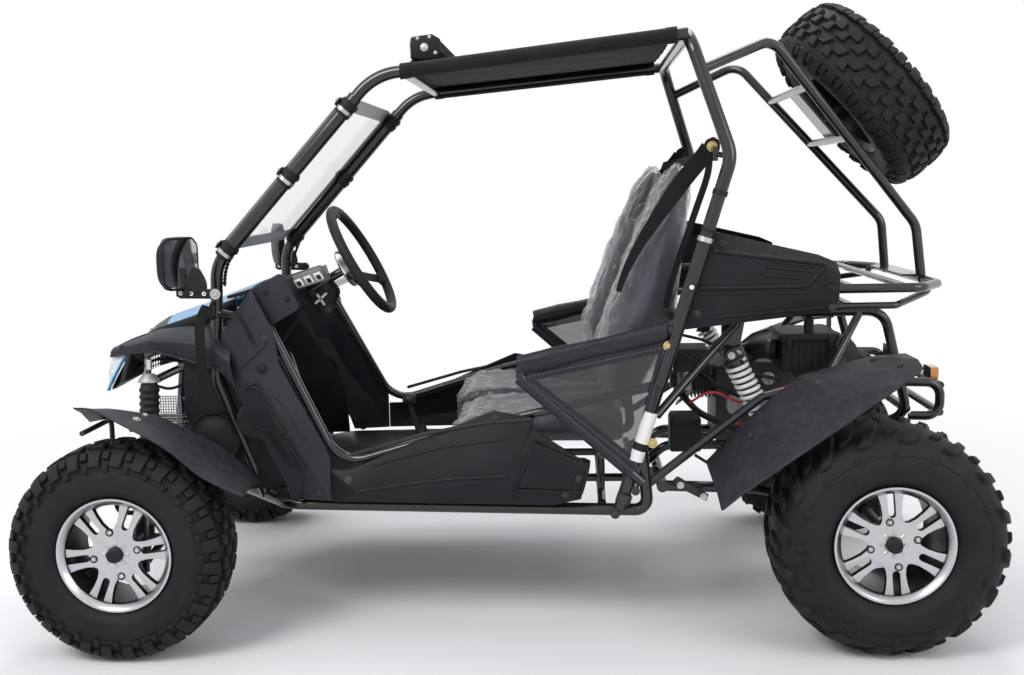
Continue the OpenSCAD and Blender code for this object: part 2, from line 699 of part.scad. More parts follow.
module front_arms() color("#1a1b1d") {
    difference() {
        both() {
            for (c = [[-1000, 133, 337, 10], [-850, 146, 329, 9.7]])
                rod([c[0], c[1], c[2]], [axle_front_x, kingpin_y - 12, upright_low - 14], c[3]);
            translate([axle_front_x, kingpin_y, upright_low - 28]) cylinder(h = 28 - seat_gap, r = 16);
            rod([axle_front_x - 36, 300, 260], [axle_front_x + 36, 300, 260], 8);
            for (c = [[-1000, -985, 9.3], [-850, -868, 9]])
                pipe([[c[0], 146, 500], [c[1], 400, 400], [axle_front_x, kingpin_y - 3, upright_high + 10]], 30, c[2]);
            translate([axle_front_x, kingpin_y, upright_high + seat_gap]) cylinder(h = 20, r = 16);
        }
        rails(seat_gap);
        front_struts(seat_gap);
    }
}

// A knuckle: upright, spindle, steering arm and the stays of the mudguard
module knuckle(s) {
    y = s * kingpin_y;
    arm_end = [axle_front_x + steer_arm, s * (kingpin_y - 40), steer_z];
    translate([axle_front_x, y, upright_low]) cylinder(h = upright_high - upright_low, r = 16);
    rod([axle_front_x, y, axle_front_z], [axle_front_x, s * (wheel_front_y + front_rim_w / 2 - 42), axle_front_z], spindle_r);
    rod([axle_front_x, y, steer_z], arm_end, 7);
    translate([arm_end[0], arm_end[1], steer_z - 8]) cylinder(h = 15.4, r = 13);
    for (d = [-1, 1]) {
        x = axle_front_x + d * 60;
        pipe([[axle_front_x, y, 320], [x, s * (kingpin_y - 4), 322], [x, s * (kingpin_y - 4), fender_under(x) - 6 - seat_gap],
            [x, s * 640, fender_under(x) - 6 - seat_gap]], [20, 16], d > 0 ? 6 : 6.2);
    }
}

module knuckle_left() color("#3c3e42") {
    knuckle(-1);
}

module knuckle_right() color("#3c3e42") {
    knuckle(1);
}

// Edges of a front mudguard: how far behind the axle, how high over the tyre's top
fender_inner = smooth([[-98, 34], [40, 53], [129, 22], [236, -36], [326, -122]]);
fender_outer = smooth([[-95, 98], [-20, 87], [137, 7], [230, -69], [326, -117]]);
fender_t = 4;
fender_half = 78;
function over_tyre(row, y) = [axle_front_x + row[0], y, axle_front_z + front_tyre_r + row[1]];
function fender_under(x) = axle_front_z + front_tyre_r - fender_t * 1.12
    + min(lookup(x - axle_front_x, fender_inner), lookup(x - axle_front_x, fender_outer));
module fender() {
    mid = wheel_front_y + 12;
    crown = [for (i = [0:len(fender_inner) - 1]) (fender_inner[i] + fender_outer[i]) / 2 + [0, 7]];
    shell([[for (row = fender_inner) over_tyre(row, mid - fender_half)], [for (row = crown) over_tyre(row, mid)],
        [for (row = fender_outer) over_tyre(row, mid + fender_half)]], [axle_front_x, 0, axle_front_z], fender_t);
}

module front_fender_left() color("#2a2c2f") {
    mirror([0, 1, 0]) fender();
}

module front_fender_right() color("#2a2c2f") {
    fender();
}

module tie_rods() color("#3c3e42") {
    x = axle_front_x + steer_arm;
    end_y = kingpin_y - 40;
    rod([x, -end_y, tie_z], [x, end_y, tie_z], tie_r);
    for (s = [-1, 1]) translate([x, s * end_y, tie_z - 8]) cylinder(h = 16, r = 14);
}

// A tyre round the Y axis, centred on the origin, on a rim of width rim_w, with two rows of lugs
module tyre(r, w, rim_w, lugs) {
    wall = 14;
    half = w / 2;
    body_r = r - lug_h;
    bead = rim_w / 2 - 10;
    side_r = bead_r + 70;
    outside = [[bead_r, bead], [lip_r + 3, bead + 2], [lip_r + 12, half - 6], [side_r, half - 1],
        [body_r - 24, half - 8], [body_r - 6, half - 26], [body_r, half - 46]];
    inside = [[body_r - wall, half - 54], [body_r - wall - 12, half - 32], [side_r, half - wall],
        [lip_r + 14, half - wall - 6], [lip_r + 3, bead - wall], [bead_r, bead - wall]];
    profile = concat(outside, [for (i = [len(outside) - 1:-1:0]) [outside[i][0], -outside[i][1]]],
        [for (i = [len(inside) - 1:-1:0]) [inside[i][0], -inside[i][1]]], inside);
    tread = [[body_r - 3, 8], [r, 8], [r, half - 40], [r - 9, half - 16], [r - 34, half], [body_r - 36, half],
        [body_r - 27, half - 12], [body_r - 8, half - 36]];
    lug_w = 0.45 * 2 * PI * r / lugs;
    rotate([90, 0, 0]) {
        rotate_extrude() polygon(profile);
        for (side = [0, 1]) mirror([0, 0, side]) intersection() {
            rotate_extrude() polygon(tread);
            linear_extrude(w) for (i = [0:lugs - 1]) rotate((i + side / 2) * 360 / lugs)
                polygon([[side_r, 4 - lug_w / 2], [r + 5, -lug_w / 2], [r + 5, lug_w / 2], [side_r, lug_w / 2 - 4]]);
        }
    }
}

// A rim round the Y axis, with its face towards -Y, and a bore for the shaft
module rim(w, bore) {
    face = w / 2 - 40;
    rotate([90, 0, 0]) difference() {
        union() {
            rotate_extrude()
                polygon([[bead_r - 8, -w / 2], [lip_r, -w / 2], [lip_r, -w / 2 + 5], [bead_r - seat_gap, -w / 2 + 9],
                    [bead_r - seat_gap, w / 2 - 9], [lip_r, w / 2 - 5], [lip_r, w / 2], [bead_r - 8, w / 2]]);
            translate([0, 0, face]) linear_extrude(spoke_t) difference() {
                circle(bead_r - 6);
                for (i = [0:spokes - 1]) rotate(i * 360 / spokes) {
                    polygon([[57, -3], [64, -10], [100, -27], [111, -27], [114, 0], [111, 27], [100, 27], [64, 10], [57, 3]]);
                    rotate(180 / spokes) polygon([[74, -5], [108, -8], [108, 8], [74, 5]]);
                }
            }
            translate([0, 0, face - 44]) cylinder(h = 44 + spoke_t + 14, r = 30);
        }
        translate([0, 0, face - 60]) cylinder(h = 60, r = bore);
    }
}

module front_wheel_place(s) {
    translate([axle_front_x, s * wheel_front_y, axle_front_z]) children();
}

module front_rim_left() color("#c8cacc") {
    front_wheel_place(-1) rim(front_rim_w, spindle_r + seat_gap);
}

module front_rim_right() color("#c8cacc") {
    front_wheel_place(1) mirror([0, 1, 0]) rim(front_rim_w, spindle_r + seat_gap);
}

module front_tyre_left() color("#232426") {
    front_wheel_place(-1) tyre(front_tyre_r, front_tyre_w, front_rim_w, front_lugs);
}

module front_tyre_right() color("#232426") {
    front_wheel_place(1) tyre(front_tyre_r, front_tyre_w, front_rim_w, front_lugs);
}

module rear_axle() color("#3c3e42") {
    end_y = wheel_rear_y + rear_rim_w / 2 - 42;
    teeth = 36;
    rod([axle_rear_x, -end_y, axle_rear_z], [axle_rear_x, end_y, axle_rear_z], axle_r);
    translate([axle_rear_x, -200, axle_rear_z]) rotate([90, 0, 0]) {
        cylinder(h = 4, r = 88);
        translate([0, 0, -9]) cylinder(h = 22, r = 30);
    }
    translate([axle_rear_x, 150, axle_rear_z]) rotate([90, 0, 0]) {
        linear_extrude(7) polygon([for (i = [0:4 * teeth - 1]) (i % 4 < 2 ? 95 : 88)
            * [cos(i * 90 / teeth), sin(i * 90 / teeth)]]);
        translate([0, 0, -8]) cylinder(h = 23, r = 30);
    }
}

module rear_rims() color("#c8cacc") {
    both() translate([axle_rear_x, wheel_rear_y, axle_rear_z]) mirror([0, 1, 0]) rim(rear_rim_w, axle_r + seat_gap);
}

module rear_tyres() color("#232426") {
    both() translate([axle_rear_x, wheel_rear_y, axle_rear_z]) tyre(rear_tyre_r, rear_tyre_w, rear_rim_w, rear_lugs);
}

// The spare wheel lies on the slope of the rear cage
spare_slope = atan2(rear_top[2] - rear_low[2], rear_low[0] - rear_top[0]);
spare_normal = [sin(spare_slope), 0, cos(spare_slope)];
spare_along = 278;
spare_lift = 143;
spare_centre = [rear_top[0], 0, rear_top[2]] + spare_along * [cos(spare_slope), 0, -sin(spare_slope)] + spare_lift * spare_normal;
module spare_place() {
    axes(spare_centre, [-spare_normal[2], 0, spare_normal[0]], -spare_normal, [0, 1, 0]) children();
}

module spare_rim() color("#2a2c2f") {
    spare_place() rim(front_rim_w, spindle_r + seat_gap);
}

module spare_tyre() color("#232426") {
    spare_place() tyre(front_tyre_r, front_tyre_w, front_rim_w, front_lugs);
}

module mirrors() color("#17181a") {
    both() {
        hull() {
            translate([-800, 402, 888]) cube([16, 150, 124]);
            translate([-846, 420, 905]) cube([10, 110, 90]);
        }
        translate([-800, pillar_y + tube_r - 0.3, 860]) cube([70, 150, 4]);
        translate([-800, 440, 864]) cube([12, 12, 30]);
    }
}

module controls() color("#17181a") {
    for (y = [-258, -160]) {
        translate([-676, y, floor_top + 4 + seat_gap]) cube([8, 20, 110]);
        translate([-668, y - 20, 440]) cube([6, 60, 50]);
    }
    translate([-300, -40, floor_top + 4 + seat_gap]) cube([70, 80, 60]);
    rod([-272, 0, 400], [-303, 0, 512], 7);
    translate([-303, 0, 520]) sphere(20);
}

floor_frame();
front_frame();
side_tubes();
rear_frame();
main_hoop();
front_cage();
rear_cage();
cargo_rack();
floor_pan();
roof_canvas();
windscreen();
light_bar();
hood();
nose_fairing();
cowls();
side_pods();
dash_panel();
steering_column();
steering_wheel();
seats();
side_guards();
belts();
engine_block();
airbox();
exhaust();
rear_panels();
swing_arm();
shocks();
rear_fenders();
rear_bumper();
lamps();
front_arms();
knuckle_left();
knuckle_right();
front_fender_left();
front_fender_right();
tie_rods();
front_rim_left();
front_rim_right();
front_tyre_left();
front_tyre_right();
rear_axle();
rear_rims();
rear_tyres();
spare_rim();
spare_tyre();
mirrors();
controls();
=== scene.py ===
import random
from math import atan2, cos, pi, radians, sin, sqrt

import bmesh
import bpy
from mathutils import Matrix, Vector, noise


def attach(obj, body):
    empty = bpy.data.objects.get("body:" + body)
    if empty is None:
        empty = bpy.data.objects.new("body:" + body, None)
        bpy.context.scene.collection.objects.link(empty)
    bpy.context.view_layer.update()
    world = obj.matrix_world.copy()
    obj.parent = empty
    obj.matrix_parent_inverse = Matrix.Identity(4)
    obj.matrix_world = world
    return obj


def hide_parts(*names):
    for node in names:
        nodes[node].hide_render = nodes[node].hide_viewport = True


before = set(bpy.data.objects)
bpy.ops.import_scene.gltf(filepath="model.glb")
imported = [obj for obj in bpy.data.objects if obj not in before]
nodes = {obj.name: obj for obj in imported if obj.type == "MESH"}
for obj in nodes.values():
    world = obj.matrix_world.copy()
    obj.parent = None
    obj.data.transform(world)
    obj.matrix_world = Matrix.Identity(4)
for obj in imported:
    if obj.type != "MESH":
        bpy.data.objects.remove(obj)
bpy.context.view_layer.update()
bpy.context.scene.view_settings.view_transform = "Standard"
unit = 0.001  # the dictionaries below are in millimetres


# Hand tools
def rest():
    if bpy.context.object and bpy.context.object.mode != "OBJECT":
        bpy.ops.object.mode_set(mode="OBJECT")
    bpy.ops.object.select_all(action="DESELECT")


def only(obj):
    rest()
    obj.select_set(True)
    bpy.context.view_layer.objects.active = obj
    return obj


def edit(obj, pick="all"):
    only(obj)
    bpy.ops.object.mode_set(mode="EDIT")
    bpy.ops.mesh.select_mode(type="FACE")
    bpy.ops.mesh.select_all(action="SELECT" if pick == "all" else "DESELECT")


def pickFaces(obj, test):
    # in edit mode: selects the faces whose centre and normal pass the test
    mesh = bmesh.from_edit_mesh(obj.data)
    for face in mesh.faces:
        face.select_set(bool(test(face.calc_center_median(), face.normal)))
    mesh.select_flush_mode()
    bmesh.update_edit_mesh(obj.data)


def outward(obj):
    edit(obj)
    bpy.ops.mesh.remove_doubles(threshold=0.00005)
    bpy.ops.mesh.select_all(action="SELECT")
    bpy.ops.mesh.normals_make_consistent(inside=False)
    rest()
    return obj


def applyModifier(obj, kind, **settings):
    only(obj)
    modifier = obj.modifiers.new(kind.title(), kind)
    for key, value in settings.items():
        setattr(modifier, key, value)
    bpy.ops.object.modifier_apply(modifier=modifier.name)
    return obj


def bevelled(obj, width, segments=2, angle=30):
    return applyModifier(obj, "BEVEL", width=width * unit, segments=segments, limit_method="ANGLE",
                         angle_limit=radians(angle), harden_normals=False)


def joined(name, parts):
    rest()
    for part in parts:
        part.select_set(True)
    bpy.context.view_layer.objects.active = parts[0]
    bpy.ops.object.join()
    obj = bpy.context.object
    obj.name = obj.data.name = name
    return obj


def copied(obj, name, turn=None):
    # a copy with its own mesh, moved by a matrix
    only(obj)
    bpy.ops.object.duplicate()
    new = bpy.context.object
    new.name = new.data.name = name
    if turn is not None:
        new.data.transform(turn)
        if turn.determinant() < 0:
            new.data.flip_normals()
    return new


mirrorY = Matrix.Diagonal((1, -1, 1, 1))


def polygon(name, points):
    # a filled outline through the points, from a circle primitive
    rest()
    bpy.ops.mesh.primitive_circle_add(vertices=len(points), radius=1, fill_type="NGON")
    obj = bpy.context.object
    obj.name = name
    for vertex, point in zip(obj.data.vertices, points):
        vertex.co = Vector(point) * unit
    return obj


def plate(name, outline, low, high, axis="Y"):
    # a prism of a flat outline; the outline's two numbers are X and Z, or Y and Z, or X and Y
    lift = {"Y": lambda a, b, h: (a, h, b), "X": lambda a, b, h: (h, a, b), "Z": lambda a, b, h: (a, b, h)}[axis]
    obj = polygon(name, [lift(a, b, low) for a, b in outline])
    edit(obj)
    bpy.ops.mesh.extrude_region_move(TRANSFORM_OT_translate={"value": Vector(lift(0, 0, high - low)) * unit})
    return outward(obj)


def block(name, low, high):
    rest()
    bpy.ops.mesh.primitive_cube_add(size=1)
    obj = bpy.context.object
    obj.name = name
    for vertex in obj.data.vertices:
        vertex.co = Vector([(high[i] if vertex.co[i] > 0 else low[i]) * unit for i in range(3)])
    return obj


def roundedPath(points, bend, steps=6):
    # a line through the points with its corners rounded by arcs of the bend radius
    points = [Vector(p) for p in points]
    path = [points[0]]
    for i in range(1, len(points) - 1):
        a, b, c = points[i - 1:i + 2]
        u, v = (b - a).normalized(), (c - b).normalized()
        turn = u.angle(v)
        if turn < 0.01:
            path.append(b)
            continue
        radius = bend[i - 1] if isinstance(bend, (list, tuple)) else bend
        reach = min(radius * sin(turn / 2) / cos(turn / 2), 0.49 * (b - a).length, 0.49 * (c - b).length)
        start, end = b - u * reach, b + v * reach
        for k in range(steps + 1):
            t = k / steps
            path.append(start * (1 - t) ** 2 + b * 2 * t * (1 - t) + end * t * t)
    return path + [points[-1]]


def tube(name, points, radius, bend=0, closed=False, sides=3, caps=True):
    # a round tube along a line of points, as a mesh
    rest()
    bpy.ops.curve.primitive_nurbs_path_add()
    obj = bpy.context.object
    curve = obj.data
    curve.splines.clear()
    path = roundedPath(points, bend) if bend else [Vector(p) for p in points]
    spline = curve.splines.new("POLY")
    spline.points.add(len(path) - 1)
    for point, place in zip(spline.points, path):
        point.co = (*(place * unit), 1)
    spline.use_cyclic_u = closed
    curve.dimensions = "3D"
    curve.bevel_depth = radius * unit
    curve.bevel_resolution = sides
    curve.use_fill_caps = caps and not closed
    bpy.ops.object.convert(target="MESH")
    obj = bpy.context.object
    obj.name = obj.data.name = name
    return outward(obj)


def turned(name, profile, steps=64, closed=True):
    # a profile of (radius, y) spun round the Y axis
    rest()
    bpy.ops.mesh.primitive_circle_add(vertices=len(profile), radius=1, fill_type="NOTHING")
    obj = bpy.context.object
    obj.name = name
    for vertex, (radius, y) in zip(obj.data.vertices, profile):
        vertex.co = Vector((0, y, radius)) * unit
    if not closed:
        mesh = bmesh.new()
        mesh.from_mesh(obj.data)
        mesh.verts.ensure_lookup_table()
        for edge in list(mesh.edges):
            if {v.index for v in edge.verts} == {0, len(profile) - 1}:
                mesh.edges.remove(edge)
        mesh.to_mesh(obj.data)
        mesh.free()
    only(obj)
    bpy.ops.object.mode_set(mode="EDIT")
    bpy.ops.mesh.select_mode(type="VERT")
    bpy.ops.mesh.select_all(action="SELECT")
    bpy.ops.mesh.spin(steps=steps, angle=2 * pi, center=(0, 0, 0), axis=(0, 1, 0))
    return outward(obj)


def ringCopies(obj, count, axis=(0, 1, 0), center=(0, 0, 0)):
    # repeats the whole mesh round an axis
    edit(obj)
    bpy.ops.mesh.spin(steps=count - 1, angle=2 * pi * (count - 1) / count, dupli=True, center=center, axis=axis)
    rest()
    return obj


def frameMatrix(place, x, y, z):
    m = Matrix((x, y, z)).transposed().to_4x4()
    m.translation = Vector(place) * unit
    return m


def paint(obj, *materials):
    obj.data.materials.clear()
    for material in materials:
        obj.data.materials.append(material)
    return obj


def paintFaces(obj, index, test):
    for face in obj.data.polygons:
        if test(face.center, face.normal):
            face.material_index = index
    return obj


def place(obj, name, body, slot, replaces=(), smooth=35):
    # names the piece, shades it and ties it to its body
    only(obj)
    obj.name = obj.data.name = name
    if smooth:
        bpy.ops.object.shade_smooth_by_angle(angle=radians(smooth))
    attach(obj, body)
    if replaces:
        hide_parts(*replaces)
    return obj


# Materials
def socketGroup(name, inputs, outputs):
    group = bpy.data.node_groups.new(name, "ShaderNodeTree")
    for label, kind, value in inputs:
        socket = group.interface.new_socket(name=label, in_out="INPUT", socket_type="NodeSocket" + kind)
        if value is not None:
            socket.default_value = value
    for label, kind in outputs:
        group.interface.new_socket(name=label, in_out="OUTPUT", socket_type="NodeSocket" + kind)
    return group, group.nodes.new("NodeGroupInput"), group.nodes.new("NodeGroupOutput")


def node(tree, kind, links=(), **settings):
    new = tree.nodes.new("ShaderNode" + kind)
    for key, value in settings.items():
        if key.startswith("in_"):
            new.inputs[key[3:].replace("_", " ")].default_value = value
        else:
            setattr(new, key, value)
    for source, socket in links:
        tree.links.new(source, new.inputs[socket])
    return new


def buildSurfaceGroup():
    # two tones by large soft noise, small grain in the normal, and dust on what faces up
    tree, given, out = socketGroup("surfaceWear", [
        ("Tone", "Color", (0.1, 0.1, 0.1, 1)), ("Worn", "Color", (0.2, 0.2, 0.2, 1)),
        ("Dust", "Color", (0.35, 0.33, 0.3, 1)), ("Roughness", "Float", 0.4), ("Blotch scale", "Float", 8.0),
        ("Blotch", "Float", 0.3), ("Grain scale", "Float", 700.0), ("Grain", "Float", 0.1),
        ("Dust amount", "Float", 0.1), ("Scratch", "Float", 0.1)],
        [("Color", "Color"), ("Roughness", "Float"), ("Normal", "Vector")])
    link = tree.links.new
    where = node(tree, "TexCoord")
    blotch = node(tree, "TexNoise", [(where.outputs["Object"], "Vector"), (given.outputs["Blotch scale"], "Scale")],
                  in_Detail=6.0, in_Roughness=0.6)
    spread = node(tree, "MapRange", [(blotch.outputs["Fac"], "Value")])
    spread.inputs["From Min"].default_value, spread.inputs["From Max"].default_value = 0.38, 0.68
    stretch = node(tree, "Mapping", [(where.outputs["Object"], "Vector")])
    stretch.inputs["Scale"].default_value = (14, 60, 160)
    stretch.inputs["Rotation"].default_value = (0.3, 0.5, 0.2)
    scratch = node(tree, "TexNoise", [(stretch.outputs[0], "Vector")], in_Scale=1.2, in_Detail=4.0)
    scratchMask = node(tree, "MapRange", [(scratch.outputs["Fac"], "Value")])
    scratchMask.inputs["From Min"].default_value, scratchMask.inputs["From Max"].default_value = 0.64, 0.72
    scratchShare = node(tree, "Math", [(scratchMask.outputs[0], 0), (given.outputs["Scratch"], 1)], operation="MULTIPLY")
    blotchShare = node(tree, "Math", [(spread.outputs[0], 0), (given.outputs["Blotch"], 1)], operation="MULTIPLY")
    wornShare = node(tree, "Math", [(blotchShare.outputs[0], 0), (scratchShare.outputs[0], 1)], operation="MAXIMUM")
    tone = node(tree, "MixRGB", [(wornShare.outputs[0], "Fac"), (given.outputs["Tone"], 1), (given.outputs["Worn"], 2)])
    shape = node(tree, "NewGeometry")
    up = node(tree, "SeparateXYZ", [(shape.outputs["Normal"], 0)])
    upMask = node(tree, "MapRange", [(up.outputs["Z"], "Value")])
    upMask.inputs["From Min"].default_value = 0.1
    specks = node(tree, "TexNoise", [(where.outputs["Object"], "Vector")], in_Scale=55.0, in_Detail=8.0, in_Roughness=0.7)
    specksMask = node(tree, "MapRange", [(specks.outputs["Fac"], "Value")])
    specksMask.inputs["From Min"].default_value, specksMask.inputs["From Max"].default_value = 0.4, 0.75
    dust = node(tree, "Math", [(upMask.outputs[0], 0), (specksMask.outputs[0], 1)], operation="MULTIPLY")
    dustShare = node(tree, "Math", [(dust.outputs[0], 0), (given.outputs["Dust amount"], 1)], operation="MULTIPLY")
    dusted = node(tree, "MixRGB", [(dustShare.outputs[0], "Fac"), (tone.outputs[0], 1), (given.outputs["Dust"], 2)])
    rough = node(tree, "Math", [(wornShare.outputs[0], 0), (given.outputs["Roughness"], 2)], operation="MULTIPLY_ADD")
    rough.inputs[1].default_value = 0.18
    rougher = node(tree, "Math", [(dustShare.outputs[0], 0), (rough.outputs[0], 2)], operation="MULTIPLY_ADD")
    rougher.inputs[1].default_value = 0.5
    grain = node(tree, "TexNoise", [(where.outputs["Object"], "Vector"), (given.outputs["Grain scale"], "Scale")],
                 in_Detail=3.0)
    bump = node(tree, "Bump", [(grain.outputs["Fac"], "Height"), (given.outputs["Grain"], "Strength")])
    bump.inputs["Distance"].default_value = 0.0015
    link(dusted.outputs[0], out.inputs["Color"])
    link(rougher.outputs[0], out.inputs["Roughness"])
    link(bump.outputs[0], out.inputs["Normal"])
    return tree


def buildWeaveGroup():
    # crossed threads on Object coordinates, for canvas and webbing
    tree, given, out = socketGroup("threadWeave", [("Scale", "Float", 500.0), ("Depth", "Float", 0.3)],
                                   [("Height", "Float"), ("Normal", "Vector")])
    where = node(tree, "TexCoord")
    size = node(tree, "VectorMath", [(where.outputs["Object"], 0)], operation="SCALE")
    tree.links.new(given.outputs["Scale"], size.inputs["Scale"])
    parts = node(tree, "SeparateXYZ", [(size.outputs[0], 0)])
    alongSum = node(tree, "Math", [(parts.outputs["X"], 0), (parts.outputs["Z"], 1)], operation="ADD")
    first = node(tree, "Math", [(alongSum.outputs[0], 0)], operation="SINE")
    second = node(tree, "Math", [(parts.outputs["Y"], 0)], operation="SINE")
    height = node(tree, "Math", [(first.outputs[0], 0), (second.outputs[0], 1)], operation="MULTIPLY")
    bump = node(tree, "Bump", [(height.outputs[0], "Height"), (given.outputs["Depth"], "Strength")])
    bump.inputs["Distance"].default_value = 0.0008
    tree.links.new(height.outputs[0], out.inputs["Height"])
    tree.links.new(bump.outputs[0], out.inputs["Normal"])
    return tree


surfaceGroup = buildSurfaceGroup()
weaveGroup = buildWeaveGroup()


def finish(name, tone, worn=None, roughness=0.4, metallic=0.0, coat=0.0, specular=0.5, blotchScale=8, blotch=0.3,
           grainScale=700, grain=0.1, dust=0.1, dustTone=(0.3, 0.28, 0.25), scratch=0.1, coatRoughness=0.05):
    material = bpy.data.materials.new(name)
    material.use_nodes = True
    tree = material.node_tree
    shader = tree.nodes["Principled BSDF"]
    wear = tree.nodes.new("ShaderNodeGroup")
    wear.node_tree = surfaceGroup
    worn = worn or tuple(min(1, c * 1.6 + 0.01) for c in tone)
    values = {"Tone": (*tone, 1), "Worn": (*worn, 1), "Dust": (*dustTone, 1), "Roughness": roughness,
              "Blotch scale": blotchScale, "Blotch": blotch, "Grain scale": grainScale, "Grain": grain,
              "Dust amount": dust, "Scratch": scratch}
    for key, value in values.items():
        wear.inputs[key].default_value = value
    tree.links.new(wear.outputs["Color"], shader.inputs["Base Color"])
    tree.links.new(wear.outputs["Roughness"], shader.inputs["Roughness"])
    tree.links.new(wear.outputs["Normal"], shader.inputs["Normal"])
    shader.inputs["Metallic"].default_value = metallic
    shader.inputs["Coat Weight"].default_value = coat
    shader.inputs["Coat Roughness"].default_value = coatRoughness
    shader.inputs["Specular IOR Level"].default_value = specular
    return material


def woven(name, tone, roughness=0.8, scale=500, depth=0.4, sheen=0.05):
    material = finish(name, tone, roughness=roughness, grain=0.05, dust=0.05, blotch=0.4, scratch=0.0, specular=0.15)
    tree = material.node_tree
    shader = tree.nodes["Principled BSDF"]
    weave = tree.nodes.new("ShaderNodeGroup")
    weave.node_tree = weaveGroup
    weave.inputs["Scale"].default_value = scale
    weave.inputs["Depth"].default_value = depth
    tree.links.new(weave.outputs["Normal"], shader.inputs["Normal"])
    shader.inputs["Sheen Weight"].default_value = sheen
    shader.inputs["Sheen Roughness"].default_value = 0.6
    return material


def glassy(name, tone, roughness=0.05, alpha=0.3, grain=0.0, grainScale=40):
    # a clear sheet: mostly see-through, with a plain gloss
    material = finish(name, tone, roughness=roughness, grain=grain, grainScale=grainScale, dust=0.15, blotch=0.2,
                      scratch=0.1)
    shader = material.node_tree.nodes["Principled BSDF"]
    shader.inputs["Alpha"].default_value = alpha
    shader.inputs["Specular IOR Level"].default_value = 0.8
    material.surface_render_method = "BLENDED"
    return material


mat = {
    "frame": finish("blackTubePaint", (0.004, 0.0045, 0.0055), roughness=0.22, coat=0.5, specular=0.4, blotch=0.35, grain=0.05,
                    grainScale=160, dust=0.06, scratch=0.12),
    "panel": finish("blackMouldedPlastic", (0.006, 0.0065, 0.009), roughness=0.4, specular=0.22, blotch=0.4, grain=0.35,
                    grainScale=900, dust=0.1, scratch=0.2),
    "grey": finish("slateMouldedPlastic", (0.014, 0.016, 0.022), roughness=0.45, specular=0.25, blotch=0.5,
                   grain=0.3, grainScale=800,
                   dust=0.12, scratch=0.25, blotchScale=5),
    "blue": finish("blueGlossPlastic", (0.045, 0.25, 0.48), roughness=0.38, coat=0.3, specular=0.35, blotch=0.15, grain=0.02,
                   dust=0.05, scratch=0.05),
    "canvas": woven("blackCanvas", (0.008, 0.008, 0.0095), scale=1400, depth=0.5),
    "webbing": woven("blackWebbing", (0.007, 0.007, 0.008), scale=2400, depth=0.6),
    "vinyl": finish("greySeatVinyl", (0.016, 0.021, 0.036), roughness=0.3, specular=0.45, blotch=0.5, grain=0.5, grainScale=400,
                    dust=0.1),
    "padVinyl": finish("slatePadVinyl", (0.011, 0.0125, 0.019), roughness=0.38, specular=0.3, blotch=0.4, grain=0.3,
                       grainScale=500),
    "screen": glassy("clearScreen", (0.8, 0.83, 0.86), roughness=0.04, alpha=0.18),
    "screenEdge": glassy("frostedScreenEdge", (0.2, 0.205, 0.21), roughness=0.4, alpha=0.85),
    "infill": glassy("tintedVinyl", (0.008, 0.0085, 0.011), roughness=0.12, alpha=0.8),
    "cast": finish("castAluminium", (0.32, 0.32, 0.33), roughness=0.45, metallic=0.9, blotch=0.6, grain=0.4,
                   grainScale=300, dust=0.25),
    "engine": finish("darkEngineCast", (0.03, 0.031, 0.034), roughness=0.45, metallic=0.3, blotch=0.6, grain=0.4,
                     grainScale=300, dust=0.3),
    "silencer": finish("silencerPaint", (0.02, 0.02, 0.022), roughness=0.5, metallic=0.2, blotch=0.6, dust=0.3),
    "white": finish("whiteSpringPaint", (0.72, 0.74, 0.72), worn=(0.5, 0.52, 0.5), roughness=0.3, coat=0.3, dust=0.25,
                    grain=0.05),
    "zinc": finish("zincPlatedSteel", (0.45, 0.45, 0.44), roughness=0.3, metallic=1.0, blotch=0.6, grain=0.2,
                   dust=0.2),
    "brass": finish("yellowZinc", (0.5, 0.38, 0.16), roughness=0.32, metallic=0.9, blotch=0.6, grain=0.2, dust=0.2),
    "steel": finish("darkForgedSteel", (0.02, 0.02, 0.023), roughness=0.4, metallic=0.2, blotch=0.5, dust=0.2),
    "alloy": finish("machinedRimFace", (0.52, 0.53, 0.55), worn=(0.4, 0.4, 0.41), roughness=0.27, metallic=1.0,
                    blotch=0.35, blotchScale=14, grain=0.06, dust=0.05),
    "rimBlack": finish("blackRimPaint", (0.004, 0.004, 0.005), roughness=0.3, coat=0.15, specular=0.2, dust=0.1),
    "tyre": finish("tyreRubber", (0.007, 0.0072, 0.008), worn=(0.02, 0.019, 0.018), roughness=0.55, blotch=0.6,
                   blotchScale=11, grain=0.5, grainScale=350, dust=0.25, dustTone=(0.07, 0.066, 0.062), specular=0.22),
    "grip": finish("gripRubber", (0.004, 0.004, 0.0045), roughness=0.5, specular=0.3, grain=0.6, grainScale=500, dust=0.08),
    "mirrorGlass": finish("mirrorGlass", (0.8, 0.82, 0.84), roughness=0.03, metallic=1.0, grain=0.0, dust=0.02,
                          scratch=0.0, blotch=0.0),
    "lens": glassy("clearLens", (0.8, 0.88, 0.92), roughness=0.05, alpha=0.35),
    "chrome": finish("lampReflector", (0.8, 0.82, 0.84), roughness=0.12, metallic=1.0, grain=0.0, dust=0.0),
    "amber": finish("amberLens", (0.55, 0.2, 0.02), roughness=0.12, coat=0.8, grain=0.1, grainScale=120),
    "redWire": finish("redWire", (0.4, 0.01, 0.012), roughness=0.4),
    "switchGrey": finish("switchPanelGrey", (0.16, 0.16, 0.165), roughness=0.45, grain=0.2, dust=0.1),
    "whiteTape": finish("whiteTape", (0.7, 0.7, 0.68), roughness=0.5, grain=0.3, dust=0.2),
}
print("materials", len(mat))

